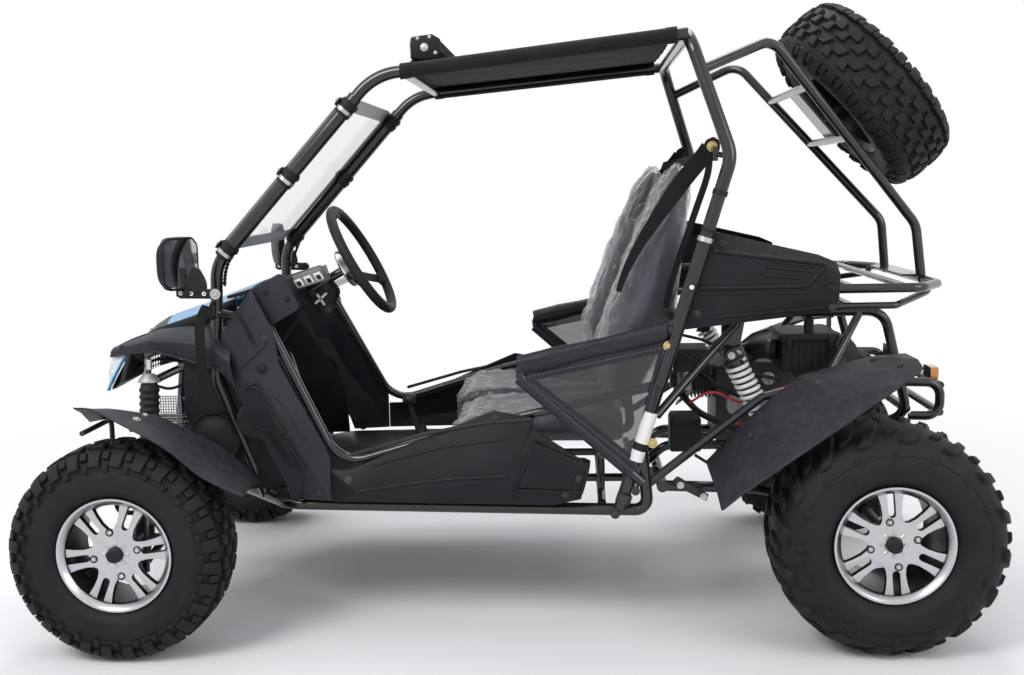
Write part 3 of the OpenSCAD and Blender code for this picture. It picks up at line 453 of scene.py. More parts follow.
nodeFinish = {
    "frame": ["floor_frame", "front_frame", "side_tubes", "rear_frame", "main_hoop", "front_cage", "rear_cage", "cargo_rack",
              "steering_column",
              "side_guards", "swing_arm", "rear_bumper", "front_arms"],
    "panel": ["floor_pan", "light_bar", "cowls", "side_pods", "dash_panel", "airbox", "rear_panels"],
    "grey": ["nose_fairing", "rear_fenders", "front_fender_left", "front_fender_right"],
    "blue": ["hood"], "canvas": ["roof_canvas"], "webbing": ["belts"], "screen": ["windscreen"],
    "vinyl": ["seats"], "engine": ["engine_block"], "silencer": ["exhaust"], "white": ["shocks"],
    "steel": ["knuckle_left", "knuckle_right", "tie_rods", "rear_axle", "spare_rim", "controls"],
    "alloy": ["front_rim_left", "front_rim_right", "rear_rims"],
    "tyre": ["front_tyre_left", "front_tyre_right", "rear_tyres", "spare_tyre"],
    "grip": ["steering_wheel", "mirrors"], "lens": ["lamps"],
}
for key, names in nodeFinish.items():
    for name in names:
        if name in nodes:
            paint(nodes[name], mat[key])
print("CAD nodes painted", len(nodes))


# Camera, floor and light
viewpoint = {"place": (0.1902, -3.2555, 1.1285), "yaw": 3.40, "pitch": 7.57, "roll": -1.11, "lens": 40.69}


def setCamera(view):
    rest()
    bpy.ops.object.camera_add(location=view["place"])
    camera = bpy.context.object
    yaw, pitch, roll = (radians(view[key]) for key in ("yaw", "pitch", "roll"))
    ahead = Vector((-sin(yaw) * cos(pitch), cos(yaw) * cos(pitch), -sin(pitch)))
    right = Vector((cos(yaw), sin(yaw), 0))
    up = right.cross(ahead)
    side = right * cos(roll) + up * sin(roll)
    top = up * cos(roll) - right * sin(roll)
    turn = Matrix((side, top, -ahead)).transposed().to_4x4()
    turn.translation = Vector(view["place"])
    camera.matrix_world = turn
    camera.data.lens = view["lens"]
    camera.data.clip_end = 200
    bpy.context.scene.camera = camera
    return camera


def setFloor():
    rest()
    bpy.ops.mesh.primitive_plane_add(size=60)
    floor = bpy.context.object
    floor.name = "floor"
    material = bpy.data.materials.new("paleFloor")
    material.use_nodes = True
    tree = material.node_tree
    shader = tree.nodes["Principled BSDF"]
    shader.inputs["Base Color"].default_value = (0.86, 0.86, 0.87, 1)
    shader.inputs["Roughness"].default_value = 0.9
    shader.inputs["Specular IOR Level"].default_value = 0.1
    white = node(tree, "Emission", in_Color=(1, 1, 1, 1), in_Strength=1.0)
    where = node(tree, "TexCoord")
    far = node(tree, "VectorMath", [(where.outputs["Object"], 0)], operation="LENGTH")
    share = node(tree, "MapRange", [(far.outputs["Value"], "Value")], interpolation_type="SMOOTHSTEP")
    share.inputs["From Min"].default_value, share.inputs["From Max"].default_value = 1.3, 3.4
    mix = node(tree, "MixShader", [(share.outputs[0], 0), (shader.outputs[0], 1), (white.outputs[0], 2)])
    tree.links.new(mix.outputs[0], tree.nodes["Material Output"].inputs["Surface"])
    paint(floor, material)


def setWorld():
    world = bpy.data.worlds.new("studio")
    bpy.context.scene.world = world
    world.use_nodes = True
    tree = world.node_tree
    soft = tree.nodes["Background"]
    soft.inputs["Color"].default_value = (0.93, 0.96, 1.0, 1)
    soft.inputs["Strength"].default_value = 0.65
    white = node(tree, "Background", in_Strength=1.0)
    white.inputs["Color"].default_value = (1, 1, 1, 1)
    ray = node(tree, "LightPath")
    seen = node(tree, "Math", [(ray.outputs["Is Camera Ray"], 0), (ray.outputs["Is Glossy Ray"], 1)], operation="MAXIMUM")
    seenThrough = node(tree, "Math", [(seen.outputs[0], 0), (ray.outputs["Is Transmission Ray"], 1)], operation="MAXIMUM")
    mix = node(tree, "MixShader", [(seenThrough.outputs[0], 0), (soft.outputs[0], 1), (white.outputs[0], 2)])
    tree.links.new(mix.outputs[0], tree.nodes["World Output"].inputs["Surface"])


def setLamp(name, place, target, size, power, tint=(1, 1, 1)):
    rest()
    bpy.ops.object.light_add(type="AREA", location=place)
    lamp = bpy.context.object
    lamp.name = name
    lamp.data.shape = "DISK"
    lamp.data.size = size
    lamp.data.energy = power
    lamp.data.color = tint
    lamp.rotation_euler = (Vector(target) - Vector(place)).to_track_quat("-Z", "Y").to_euler()


setCamera(viewpoint)
setFloor()
setWorld()
setLamp("keyLamp", (-2.6, -3.6, 4.2), (0, 0, 0.6), 2.4, 150)
setLamp("fillLamp", (3.6, -3.0, 2.6), (0, 0, 0.6), 2.6, 60)
setLamp("topLamp", (0.2, 1.6, 5.0), (0, 0, 0.6), 3.5, 110)
print("camera, floor and light set")


# Wheels
rimShape = {"spokes": 6, "seat": 127, "lip": 140, "recess": 13, "thick": 17, "boltCircle": 55, "bolts": 4,
            "fork": [(50.2, -29), (58, -24.5), (75, -22.5), (98, -25), (118, -29.5), (127, -29), (127, -8.5),
                     (72, -8.5), (67, -6.5), (64.5, -2.5), (64.5, 2.5), (67, 6.5), (72, 8.5), (127, 8.5), (127, 29),
                     (118, 29.5), (98, 25), (75, 22.5), (58, 24.5)]}
frontWheel = {"x": -926.5, "y": 575, "z": 266.5, "radius": 266.5, "rimWidth": 148, "spokeTurn": 8, "boltTurn": 12}
rearWheel = {"x": 913.5, "y": 515, "z": 279.5, "radius": 279.5, "rimWidth": 210, "spokeTurn": 35, "boltTurn": 12}
frontTread = {  # the outline of half a tyre as (half width, radius), from the crown to the bead
    "outline": [(0, 255.5), (30, 255), (52, 252.5), (68, 247), (78, 238), (84.5, 226), (87.5, 212), (86.6, 210),
                (88.5, 207), (89, 190), (88, 168), (83, 154), (74, 147), (67, 142), (64, 127)],
    "pitches": 28,
    "lugs": [  # turn in pitches, start and end along the outline, half widths there, height, sweep
        (0.0, 62, 101, 19, 14, 11.5, 0), (0.5, 66, 84, 11, 10, 10, 0), (0.5, 97, 112, 8.5, 6.5, 6, 5),
        (0.5, 99, 111, 3.5, 8, 8, -4), (0.0, 25, 50, 14, 16, 11, 8), (0.5, 3, 30, 17, 12, 11, -10)],
}
rearTread = {
    "outline": [(0, 269), (45, 268), (75, 264), (95, 256), (108, 246), (117, 233), (122, 219), (121, 216.5),
                (123.5, 213), (126, 195), (125, 172), (118, 157), (105, 149), (97, 142), (95, 127)],
    "pitches": 16,
    "lugs": [(0.0, 8, 118, 10, 18, 10.5, 62), (0.5, 30, 84, 9, 13, 10, 34), (0.45, 131, 152, 11.5, 11.5, 2.6, 0),
             (0.45, 135, 148, 5.5, 5.5, 4.4, 0), (0.72, 96, 116, 7, 9, 7, 6)],
}


def buildRim(name, width, spokeTurn, boltTurn, face, dark):
    # face towards -Y: barrel with lips, a star of forked spokes, cap and bolts
    half = width / 2
    seat, lip = rimShape["seat"] - 0.3, rimShape["lip"]
    barrel = turned("barrel", [(lip, -half), (lip, -half + 5), (seat, -half + 9), (seat, half - 9), (lip, half - 5),
                               (lip, half), (lip - 5, half), (seat - 7, half - 12), (seat - 12, 20), (seat - 12, -10),
                               (seat - 7, -half + 22), (seat - 3, -half + 10), (lip - 5, -half)], 96)
    paint(barrel, face, dark)
    paintFaces(barrel, 1, lambda c, n: c.y > (-half + 9.5) * unit or Vector((c.x, c.z)).length < 0.1215)
    front = -half + rimShape["recess"]
    outline = []
    for i in range(rimShape["spokes"]):
        a = radians(spokeTurn + 360 * i / rimShape["spokes"])
        outline += [(u * cos(a) - v * sin(a), u * sin(a) + v * cos(a)) for u, v in rimShape["fork"]]
    star = plate("star", outline, front, front + rimShape["thick"])
    bevelled(star, 1.6, 2)
    paint(star, face, dark)
    paintFaces(star, 1, lambda c, n: n.y > -0.55)
    hub = turned("hub", [(0.1, front - 3), (18, front - 3), (20, front - 1), (20, front + 3), (33, front + 2.5),
                         (33, front + 60), (22, front + 60), (0.1, front + 60)], 32)
    paint(hub, dark)
    cap = turned("cap", [(0.1, front - 16), (14, front - 16), (18, front - 13), (19.5, front - 2), (0.1, front - 2)], 24)
    paint(cap, mat["grip"])
    notch = block("notch", (-3.5, front - 2.5, 23), (3.5, front + 3, 32.4))
    bevelled(notch, 1, 1)
    ringCopies(notch, 8)
    paint(notch, face)
    cup = turned("cup", [(6.8, front - 1.2), (9.5, front - 1.2), (9.5, front + 2), (6.8, front + 2)], 20)
    head = turned("head", [(0.1, front - 5), (4.2, front - 5), (6.3, front - 2.8), (6.6, front + 2), (0.1, front + 2)], 6)
    paint(cup, dark)
    paint(head, mat["zinc"])
    bolt = joined("bolt", [cup, head])
    turn = radians(boltTurn)
    bolt.data.transform(Matrix.Translation(Vector((cos(turn), 0, sin(turn))) * rimShape["boltCircle"] * unit))
    ringCopies(bolt, rimShape["bolts"])
    return joined(name, [star, barrel, hub, cap, notch, bolt])


def outlineWalker(outline):
    # gives the point and the normal at a distance along the half outline
    spans = [(Vector(a), Vector(b)) for a, b in zip(outline, outline[1:])]

    def at(s):
        for a, b in spans:
            length = (b - a).length
            if s <= length or (a, b) == spans[-1]:
                d = (b - a) / length
                return a + d * s, Vector((-d.y, d.x))
            s -= length
    return at


def mapped(name, nx, ny, shape):
    # a grid primitive raised to a slab, its points then laid where shape says
    rest()
    bpy.ops.mesh.primitive_grid_add(x_subdivisions=nx, y_subdivisions=ny, size=2)
    obj = bpy.context.object
    obj.name = name
    edit(obj)
    bpy.ops.mesh.extrude_region_move(TRANSFORM_OT_translate={"value": (0, 0, 1)})
    rest()
    for vertex in obj.data.vertices:
        vertex.co = Vector(shape(*vertex.co)) * unit
    return outward(obj)


def buildTyre(name, tread):
    outline = tread["outline"]
    wall = 9
    inner = [(max(r - wall, 127) if y < 60 else max(r - 4, 127), y - wall) for y, r in outline[1:]]
    loop = [(r, -y) for y, r in reversed(outline[1:])] + [(r, y) for y, r in outline]
    loop += [(r, y) for r, y in reversed(inner)] + [(r, -y) for r, y in inner]
    carcass = turned("carcass", loop, 112)
    at = outlineWalker(outline)
    pitch = 2 * pi / tread["pitches"]
    lugs = []
    for side in (-1, 1):
        for turn, start, end, wide0, wide1, height, sweep in tread["lugs"]:
            def laid(x, y, z):
                t = (y + 1) / 2
                shrink = 1 - 0.16 * z
                s = (start + end) / 2 + (t - 0.5) * (end - start) * (1 - 0.1 * z)
                point, normal = at(s)
                point = point + normal * (height * z - 1.5 * (1 - z))
                across = x * (wide0 + (wide1 - wide0) * t) * shrink + sweep * (t - 0.5) * (0.6 + 0.4 * t)
                angle = (turn + (0.5 if side < 0 else 0)) * pitch + side * across / point.y
                return point.y * sin(angle), side * point.x, point.y * cos(angle)
            lugs.append(mapped("lug", 2, 8 if end - start > 60 else 3, laid))
    sector = joined("sector", lugs)
    bevelled(sector, 1.4, 1, 40)
    ringCopies(sector, tread["pitches"])
    obj = joined(name, [carcass, sector])
    return paint(obj, mat["tyre"])


def setWheel(rim, tyre, wheel, side, end):
    spot = Matrix.Translation(Vector((wheel["x"], side * wheel["y"], wheel["z"])) * unit)
    if side > 0:
        spot = spot @ mirrorY
    return copied(rim, "rim" + end, spot), copied(tyre, "tyre" + end, spot)


frontRim = buildRim("frontRim", frontWheel["rimWidth"], frontWheel["spokeTurn"], frontWheel["boltTurn"], mat["alloy"],
                    mat["rimBlack"])
rearRim = buildRim("rearRim", rearWheel["rimWidth"], rearWheel["spokeTurn"], rearWheel["boltTurn"], mat["alloy"],
                   mat["rimBlack"])
frontTyre = buildTyre("frontTyre", frontTread)
rearTyre = buildTyre("rearTyre", rearTread)
for side, end in ((-1, "left"), (1, "right")):
    rim, tyre = setWheel(frontRim, frontTyre, frontWheel, side, "Front" + end.title())
    place(rim, rim.name, "front_wheel_" + end, "rim_alloy", ["front_rim_" + end])
    place(tyre, tyre.name, "front_wheel_" + end, "tyre_rubber", ["front_tyre_" + end])
rearRims, rearTyres = [], []
for side, end in ((-1, "RearLeft"), (1, "RearRight")):
    rim, tyre = setWheel(rearRim, rearTyre, rearWheel, side, end)
    rearRims.append(place(rim, rim.name, "rear_wheels", "rim_alloy", ["rear_rims"]))
    rearTyres.append(place(tyre, tyre.name, "rear_wheels", "tyre_rubber", ["rear_tyres"]))
spareAt = {"centre": (957.7, 0, 1349.5), "normal": (0.759, 0, 0.651)}
spareNormal = Vector(spareAt["normal"]).normalized()
spareSpot = frameMatrix(spareAt["centre"], (-spareNormal.z, 0, spareNormal.x), -spareNormal, (0, 1, 0))
spareRim = buildRim("spareRim", frontWheel["rimWidth"], 20, 12, mat["rimBlack"], mat["rimBlack"])
spareRim.data.transform(spareSpot)
place(spareRim, "spareRim", "chassis", "steel_dark", ["spare_rim"])
spareTyre = copied(frontTyre, "spareTyre", spareSpot)
place(spareTyre, "spareTyre", "chassis", "tyre_rubber", ["spare_tyre"])
for template in (frontRim, rearRim, frontTyre, rearTyre):
    bpy.data.objects.remove(template)
print("wheels", sum(len(o.data.polygons) for o in (spareTyre, spareRim, *rearRims, *rearTyres)))


# Shared shapes of the body
def ribbon(name, points, normals, width, thick=1.4, steps=8, taper=None):
    # a flat strap along a smooth line; normals gives the strap's face direction at each point
    points = [Vector(p) for p in points]
    normals = [Vector(n) for n in normals] if isinstance(normals[0], (tuple, Vector)) else [Vector(normals)] * len(points)

    def along(values, t):
        i = min(int(t), len(values) - 2)
        a, b = values[max(i - 1, 0)], values[i]
        c, d = values[i + 1], values[min(i + 2, len(values) - 1)]
        k = t - i
        return 0.5 * (2 * b + (c - a) * k + (2 * a - 5 * b + 4 * c - d) * k * k + (3 * b - a - 3 * c + d) * k ** 3)

    def laid(x, y, z):
        t = (y + 1) / 2 * (len(points) - 1)
        spot = along(points, t)
        ahead = (along(points, min(t + 0.05, len(points) - 1)) - along(points, max(t - 0.05, 0))).normalized()
        face = along(normals, t).normalized()
        side = ahead.cross(face).normalized()
        wide = width if taper is None else width * taper((y + 1) / 2)
        return spot + side * x * wide / 2 + face * thick * (z - 0.5)
    return mapped(name, 2, steps * (len(points) - 1), laid)


def boltHead(name, spot, normal, radius=7, height=6, washer=11):
    # a hexagon head on a washer, facing along the normal
    head = turned(name, [(0.1, height), (radius * 0.75, height), (radius, height * 0.75), (radius, 1.6), (0.1, 1.6)], 6)
    ring = turned("washer", [(0.1, 0), (washer, 0), (washer, 1.6), (0.1, 1.6)], 24)
    bolt = joined(name, [head, ring])
    bolt.data.transform(Vector((0, 1, 0)).rotation_difference(Vector(normal)).to_matrix().to_4x4())
    bolt.data.transform(Matrix.Translation(Vector(spot) * unit))
    return bolt


def bothSides(obj):
    # joins a mesh with its mirror on the far side
    return joined(obj.name, [obj, copied(obj, obj.name + "Far", mirrorY)])


def fromNode(name, piece, bevel=0.0, segments=2, angle=20, flat=2):
    # a copy of a CAD solid, its flat faces made whole and its edges rounded
    only(nodes[name])
    bpy.ops.object.duplicate()
    obj = bpy.context.object
    obj.name = obj.data.name = piece
    obj.data.transform(obj.matrix_world)
    obj.parent = None
    obj.matrix_world = Matrix()
    for key in list(obj.keys()):
        del obj[key]
    edit(obj)
    bpy.ops.mesh.remove_doubles(threshold=0.00002)
    bpy.ops.mesh.select_all(action="SELECT")
    bpy.ops.mesh.dissolve_limited(angle_limit=radians(flat))
    outward(obj)
    if bevel:
        bevelled(obj, bevel, segments, angle)
    return obj


def filmy(name, tone, clear, milky, roughness=0.12):
    # thin clear film: see-through when faced, milky where it is seen edge on, crumpled
    material = glassy(name, tone, roughness=roughness, alpha=clear, grain=0.7, grainScale=26)
    tree = material.node_tree
    shader = tree.nodes["Principled BSDF"]
    facing = node(tree, "LayerWeight")
    facing.inputs["Blend"].default_value = 0.45
    share = node(tree, "MapRange", [(facing.outputs["Facing"], "Value")])
    share.inputs["To Min"].default_value, share.inputs["To Max"].default_value = clear, milky
    tree.links.new(share.outputs[0], shader.inputs["Alpha"])
    return material


# Canvas roof, stretched between the roof tubes and wrapped round them
roof = {"front": (-312, 348, 1402.5), "back": (455, 416, 1475), "start": -246, "end": 428, "tube": 16.6, "sag": 16,
        "hem": 26, "under": 205}


def roofTube(x):
    t = (x - roof["front"][0]) / (roof["back"][0] - roof["front"][0])
    return [a + (b - a) * t for a, b in zip(roof["front"], roof["back"])]


def canvasPiece(name, low, high, lift, nx, ny=72):
    def laid(x, y, z):
        _, across, up = roofTube(low + (high - low) * (x + 1) / 2)
        along = low + (high - low) * (x + 1) / 2
        puff = 1.5 * sin(along / 31) * sin(along / 13 + 1) + 5 * max(0, cos((along - 90) / 210))
        r = roof["tube"] + 1.2 * z + lift + 0.8
        side = 1 if y > 0 else -1
        a = abs(y)
        if a > 0.7:
            turn = radians(90 - (roof["under"] + 25) * (a - 0.7) / 0.3)
            wide = r + 0.5 * puff * max(0, cos(turn))
            return along, side * (across + wide * cos(turn)), up + r * sin(turn)
        s = a / 0.7
        ripple = 1.2 * sin(across * s / 26 + along / 47) * (1 - s ** 4)
        return along, side * across * s, up + r - roof["sag"] * (1 - s * s) * (0.6 + 0.4 * sin(pi * (x + 1) / 2)) + ripple
    return mapped(name, nx, ny, laid)


canvas = canvasPiece("roofCanvas", roof["start"], roof["end"], 0, 70)
hems = [canvasPiece("hem", roof["start"], roof["start"] + roof["hem"], 1.3, 3),
        canvasPiece("hem", roof["end"] - roof["hem"], roof["end"], 1.3, 3)]
hem = joined("roofHem", hems)
place(paint(canvas, mat["canvas"]), "roofCanvas", "chassis", "canvas", ["roof_canvas"])
place(paint(hem, mat["canvas"]), "roofHem", "chassis", "canvas")

# Windscreen: a clear sheet with a frosted border, clamped on the pillars
screen = {"low": (-732.4, 0, 968.4), "along": (0.6731, 0, 0.7396), "length": 520, "half": 355, "corner": 52, "border": 40,
          "thick": 4}
screenAlong = Vector(screen["along"])
screenNormal = Vector((-screenAlong.z, 0, screenAlong.x))
screenSpot = frameMatrix(screen["low"], screenAlong, (0, 1, 0), screenNormal)


def roundedOutline(length, half, corner, steps=8):
    outline = []
    for cu, cv, start in ((corner, half - corner, 90), (corner, corner - half, 180),
                          (length - corner, corner - half, 270), (length - corner, half - corner, 0)):
        outline += [(cu + corner * cos(radians(start + 90 * k / steps)), cv + corner * sin(radians(start + 90 * k / steps)))
                    for k in range(steps + 1)]
    return outline


def buildScreen():
    sheet = plate("windscreen", roundedOutline(screen["length"], screen["half"], screen["corner"]), 0, screen["thick"], "Z")
    edit(sheet)
    pickFaces(sheet, lambda c, n: abs(n.z) > 0.9)
    bpy.ops.mesh.inset(thickness=screen["border"] * unit, use_individual=True)
    rest()
    paint(sheet, mat["screen"], mat["screenEdge"])
    paintFaces(sheet, 1, lambda c, n: c.x < 0.04 or c.x > 0.48 or abs(c.y) > 0.325)
    sheet.data.transform(screenSpot)
    return sheet


def buildClamps():
    parts = []
    for u in (24, 268, 496):
        for side in (-1, 1):
            spot = Vector(screen["low"]) + screenAlong * u - screenNormal * 18.8
            spot.y = side * (357 - 7.5 * u / 520)
            sleeve = tube("sleeve", [spot - screenAlong * 21, spot + screenAlong * 21], 21.5, sides=8)
            paint(sleeve, mat["grip"])
            rings = []
            for shift, radius, metal in ((-12, 23.4, "zinc"), (7, 24.2, "grip")):
                ring = tube("ring", [spot + screenAlong * shift, spot + screenAlong * (shift + 9)], radius, sides=8)
                rings.append(paint(ring, mat[metal] if side < 0 else mat["grip"]))
            lug = block("lug", (u - 12, spot.y - 12, 4.2), (u + 12, spot.y + 12, 9.5))
            bevelled(lug, 2, 2)
            paint(lug, mat["grip"]).data.transform(screenSpot)
            bolt = paint(boltHead("bolt", (0, 0, 9.5), (0, 0, 1), 6, 5, 9), mat["zinc"])
            bolt.data.transform(Matrix.Translation(screenSpot @ (Vector((u, spot.y, 0)) * unit)) @ screenSpot.to_3x3().to_4x4())
            parts += [sleeve, *rings, lug, bolt]
    return joined("screenClamps", parts)


place(buildScreen(), "windscreen", "chassis", "screen_clear", ["windscreen"])
place(buildClamps(), "screenClamps", "chassis", "frame_black")
print("roof and windscreen")

# Light bar: finned housing, lamps behind a clear lens, end caps with bolts
lightBar = {"x": -190, "z": 1472, "half": 300, "outline": [(-36, -26), (-14, -31), (30, -29), (42, -12), (38, 20), (18, 32),
            (-28, 27), (-38, 12)], "lamps": 18, "fins": 46}


def buildLightBar():
    x, z, half = lightBar["x"], lightBar["z"], lightBar["half"]
    shape = [(x + a, z + b) for a, b in lightBar["outline"]]
    core = plate("lightBar", [(x + a * 0.74 + 1, z + b * 0.78) for a, b in lightBar["outline"]], -half + 6, half - 6)
    parts = [paint(core, mat["panel"])]
    cap = bevelled(plate("cap", shape, -half, -half + 9), 3, 3)
    parts.append(bothSides(paint(cap, mat["panel"])))
    gap = (2 * half - 24) / lightBar["fins"]
    fin = plate("fin", [(x - 4, z - 29), (x + 30, z - 27), (x + 40, z - 10), (x + 36, z + 18), (x + 16, z + 30), (x - 4, z + 28)],
                -half + 12, -half + 14.4)
    paint(applyModifier(fin, "ARRAY", count=lightBar["fins"], use_relative_offset=False, use_constant_offset=True,
                        constant_offset_displace=(0, gap * unit, 0)), mat["panel"])
    parts.append(fin)
    bezel = bevelled(plate("bezel", [(x - 38, z - 26), (x - 24, z - 28), (x - 24, z + 28), (x - 36, z + 25)],
                           -half + 4, half - 4),
                     2, 2)
    parts.append(paint(bezel, mat["panel"]))
    step = (2 * half - 40) / lightBar["lamps"]
    for row in (-12, 13):
        bowl = turned("bowl", [(12, 0), (10.5, 1.5), (5, 8), (3.2, 8), (3.2, 0.5), (0.1, 0.5)], 20)
        bowl.data.transform(Matrix.Translation(Vector((x - 39.2, -half + 20 + step / 2, z + row)) * unit) @
                            Matrix.Rotation(radians(-90), 4, "Z"))
        paint(applyModifier(bowl, "ARRAY", count=lightBar["lamps"], use_relative_offset=False, use_constant_offset=True,
                            constant_offset_displace=(0, step * unit, 0)), mat["chrome"])
        parts.append(bowl)
    for a, b, r in ((-2, 0, 8), (-18, 22, 3.5), (12, 25, 3.5), (26, -14, 3.5)):
        bolt = boltHead("bolt", (x + a, -half, z + b), (0, -1, 0), r, 4, r * 1.25)
        parts.append(bothSides(paint(bolt, mat["zinc"])))
    foot = plate("foot", [(-252, 1421.8), (-234, 1421.8), (x - 10, z - 24), (x - 36, z - 16)], 239, 247)
    parts.append(bothSides(paint(bevelled(foot, 1.5, 2), mat["panel"])))
    return joined("lightBar", parts)


place(buildLightBar(), "lightBar", "chassis", "plastic_black", ["light_bar"])
lens = plate("lightLens", [(-230.5, 1447), (-228.6, 1447), (-228.6, 1495), (-230.5, 1495)], -291, 291)
place(paint(lens, mat["lens"]), "lightLens", "chassis", "lamp_lens")
print("light bar")

# Seats: padded shells of grey vinyl under a clear film
seat = {"y": 215, "half": 176, "low": 592, "high": 1162, "voxel": 6, "swell": 7,
        "front": [(590, 262), (640, 240), (729, 232), (950, 316), (1146, 402), (1165, 420)],
        "rear": [(590, 306), (753, 400), (867, 420), (1145, 452), (1165, 440)]}


def lookUp(table, value):
    for (a, p), (b, q) in zip(table, table[1:]):
        if value <= b:
            return p + (q - p) * (max(value, a) - a) / (b - a)
    return table[-1][1]


def seatHalf(h):
    # half width of the seat back at a share h of its height
    return seat["half"] * (1 if h < 0.62 else sqrt(max(0.02, 1 - ((h - 0.62) / 0.40) ** 2.4)) * 0.97 + 0.03)


def backShape(grow, hollow):
    def laid(x, y, z):
        h = (y + 1) / 2
        up = seat["low"] - grow * 0.4 + (seat["high"] - seat["low"] + grow * 1.4) * h
        wide = seatHalf(h) + grow
        front = lookUp(seat["front"], up) - grow
        rear = lookUp(seat["rear"], up) + grow
        middle, deep = (front + rear) / 2, (rear - front) / 2
        edge = (1 - abs(x) ** 7) ** 0.5 * (1 - max(0, (h - 0.8) / 0.2) ** 4 * 0.75)
        dish = hollow * max(0, 1 - (abs(x) / 0.68) ** 4) * (1 - 0.6 * h)
        across = wide * x
        if z > 0.5:
            return middle + deep * edge, across, up
        return middle - (deep - dish) * edge, across, up
    return laid


def baseShape(x, y, z):
    along = (y + 1) / 2
    front = -142 + 426 * along
    lift = 528 + 16 * along - 14 * max(0, 1 - along / 0.12) ** 2
    wing = 12 * max(0, (abs(x) - 0.62) / 0.38) ** 0.8 * (1 if along > 0.1 else along / 0.1)
    edge = (1 - abs(x) ** 9) ** 0.5
    low = 478
    middle = (low + lift + wing) / 2
    half = (lift + wing - low) / 2 * (0.35 + 0.65 * edge)
    return front, 172 * x, middle + (half if z > 0.5 else -half)


def cushion(name, shape, nx, ny):
    pad = mapped(name, nx, ny, shape)
    applyModifier(pad, "REMESH", mode="VOXEL", voxel_size=seat["voxel"] * unit, use_smooth_shade=True)
    before = [v.co.copy() for v in pad.data.vertices]
    only(pad)
    cloth = pad.modifiers.new("Cloth", "CLOTH")
    cloth.settings.quality = 4
    cloth.settings.use_pressure = True
    cloth.settings.uniform_pressure_force = 4
    cloth.settings.effector_weights.gravity = 0
    cloth.settings.tension_stiffness = 12
    cloth.settings.compression_stiffness = 12
    cloth.settings.bending_stiffness = 0.4
    cloth.point_cache.frame_start, cloth.point_cache.frame_end = 1, 20
    for number in range(1, 21):
        bpy.context.scene.frame_set(number)
    bpy.ops.object.modifier_apply(modifier="Cloth")
    for vertex, old in zip(pad.data.vertices, before):
        move = vertex.co - old
        if move.length > seat["swell"] * unit:
            vertex.co = old + move * (seat["swell"] * unit / move.length)
    bpy.context.scene.frame_set(1)
    return pad


def surfaced(name, nx, ny, shape):
    # a single open surface laid from a grid primitive
    rest()
    bpy.ops.mesh.primitive_grid_add(x_subdivisions=nx, y_subdivisions=ny, size=2)
    obj = bpy.context.object
    obj.name = name
    for vertex in obj.data.vertices:
        vertex.co = Vector(shape(*vertex.co)) * unit
    return obj


def crumple(obj, size, depth, seed):
    # pushes the points in and out along their normals, in creases that run mostly upwards
    normals = [v.normal.copy() for v in obj.data.vertices]
    for vertex, normal in zip(obj.data.vertices, normals):
        co = vertex.co
        spot = Vector((co.x, co.y + 0.25 * co.z, 0.34 * co.z + 0.2 * co.x)) / (size * unit) + Vector((seed, 0, seed))
        crease = 0.5 - abs(noise.noise(spot)) * 2 + 0.5 * (0.5 - abs(noise.noise(spot * 2.3)) * 2)
        vertex.co += normal * crease * depth * unit
    return obj


seatBack = cushion("seatBack", backShape(0, 44), 26, 36)
seatBase = cushion("seatBase", baseShape, 24, 26)
for pad in (seatBack, seatBase):
    paint(pad, mat["vinyl"])
filmMaterial = filmy("clearSeatFilm", (0.4, 0.405, 0.41), 0.08, 0.55, 0.04)


def filmShape(x, y, z):
    # one open sheet: over the front, round both sides and tucked in behind
    body = backShape(9, -4)
    if abs(x) < 0.62:
        return body(x / 0.62, y, 0)
    side = 1 if x > 0 else -1
    t = (abs(x) - 0.62) / 0.38
    return body(side * (1 - 0.75 * max(0, t - 0.15) / 0.85), y, 1 if t > 0.12 else 0)


film = surfaced("seatFilm", 96, 92, filmShape)
crumple(film, 40, 7, 3.1)
crumple(film, 16, 1.8, 8.7)
paint(film, filmMaterial)


def baseFilmShape(x, y, z):
    # one open sheet over the cushion's top, its nose and its two sides
    across, along = min(1, max(-1, x / 0.82)), min(1, max(-1, -1 + (y + 0.84) / 0.92))
    spot = Vector(baseShape(across, along, 1)) + Vector((0, 0, 6))
    spot.z -= 62 * max(0, (abs(x) - 0.82) / 0.18) + 66 * max(0, (-0.84 - y) / 0.16)
    spot.y += (7 if x > 0 else -7) * min(1, max(0, (abs(x) - 0.78) / 0.06))
    spot.x -= 7 * min(1, max(0, (-0.8 - y) / 0.06))
    return spot


baseFilm = surfaced("seatBaseFilm", 80, 84, baseFilmShape)
crumple(baseFilm, 40, 6, 5.3)
crumple(baseFilm, 15, 1.6, 2.9)
paint(baseFilm, filmMaterial)
for side, end in ((-1, "Left"), (1, "Right")):
    shift = Matrix.Translation(Vector((14 if side < 0 else -20, side * seat["y"], 0)) * unit)
    if side > 0:
        shift = shift @ mirrorY
    back = place(copied(seatBack, "seatBack" + end, shift), "seatBack" + end, "chassis", "seat_vinyl", ["seats"])
    base = place(copied(seatBase, "seatBase" + end, shift), "seatBase" + end, "chassis", "seat_vinyl", ["seats"])
    cover = place(copied(film, "seatFilm" + end, shift), "seatFilm" + end, "chassis", "screen_clear")
    wrap = place(copied(baseFilm, "seatBaseFilm" + end, shift), "seatBaseFilm" + end, "chassis", "screen_clear")
for template in (seatBack, seatBase, film, baseFilm):
    bpy.data.objects.remove(template)
print("seats")

# Shoulder belts: straps from looped anchors on the hoop, down over the outer side of the seats
beltLine = [(506, -405, 1205), (492, -408, 1186), (468, -410, 1158), (444, -411, 1129), (410, -411, 1084), (376, -411, 1034),
            (342, -410, 983), (307, -409, 918), (285, -408, 860)]


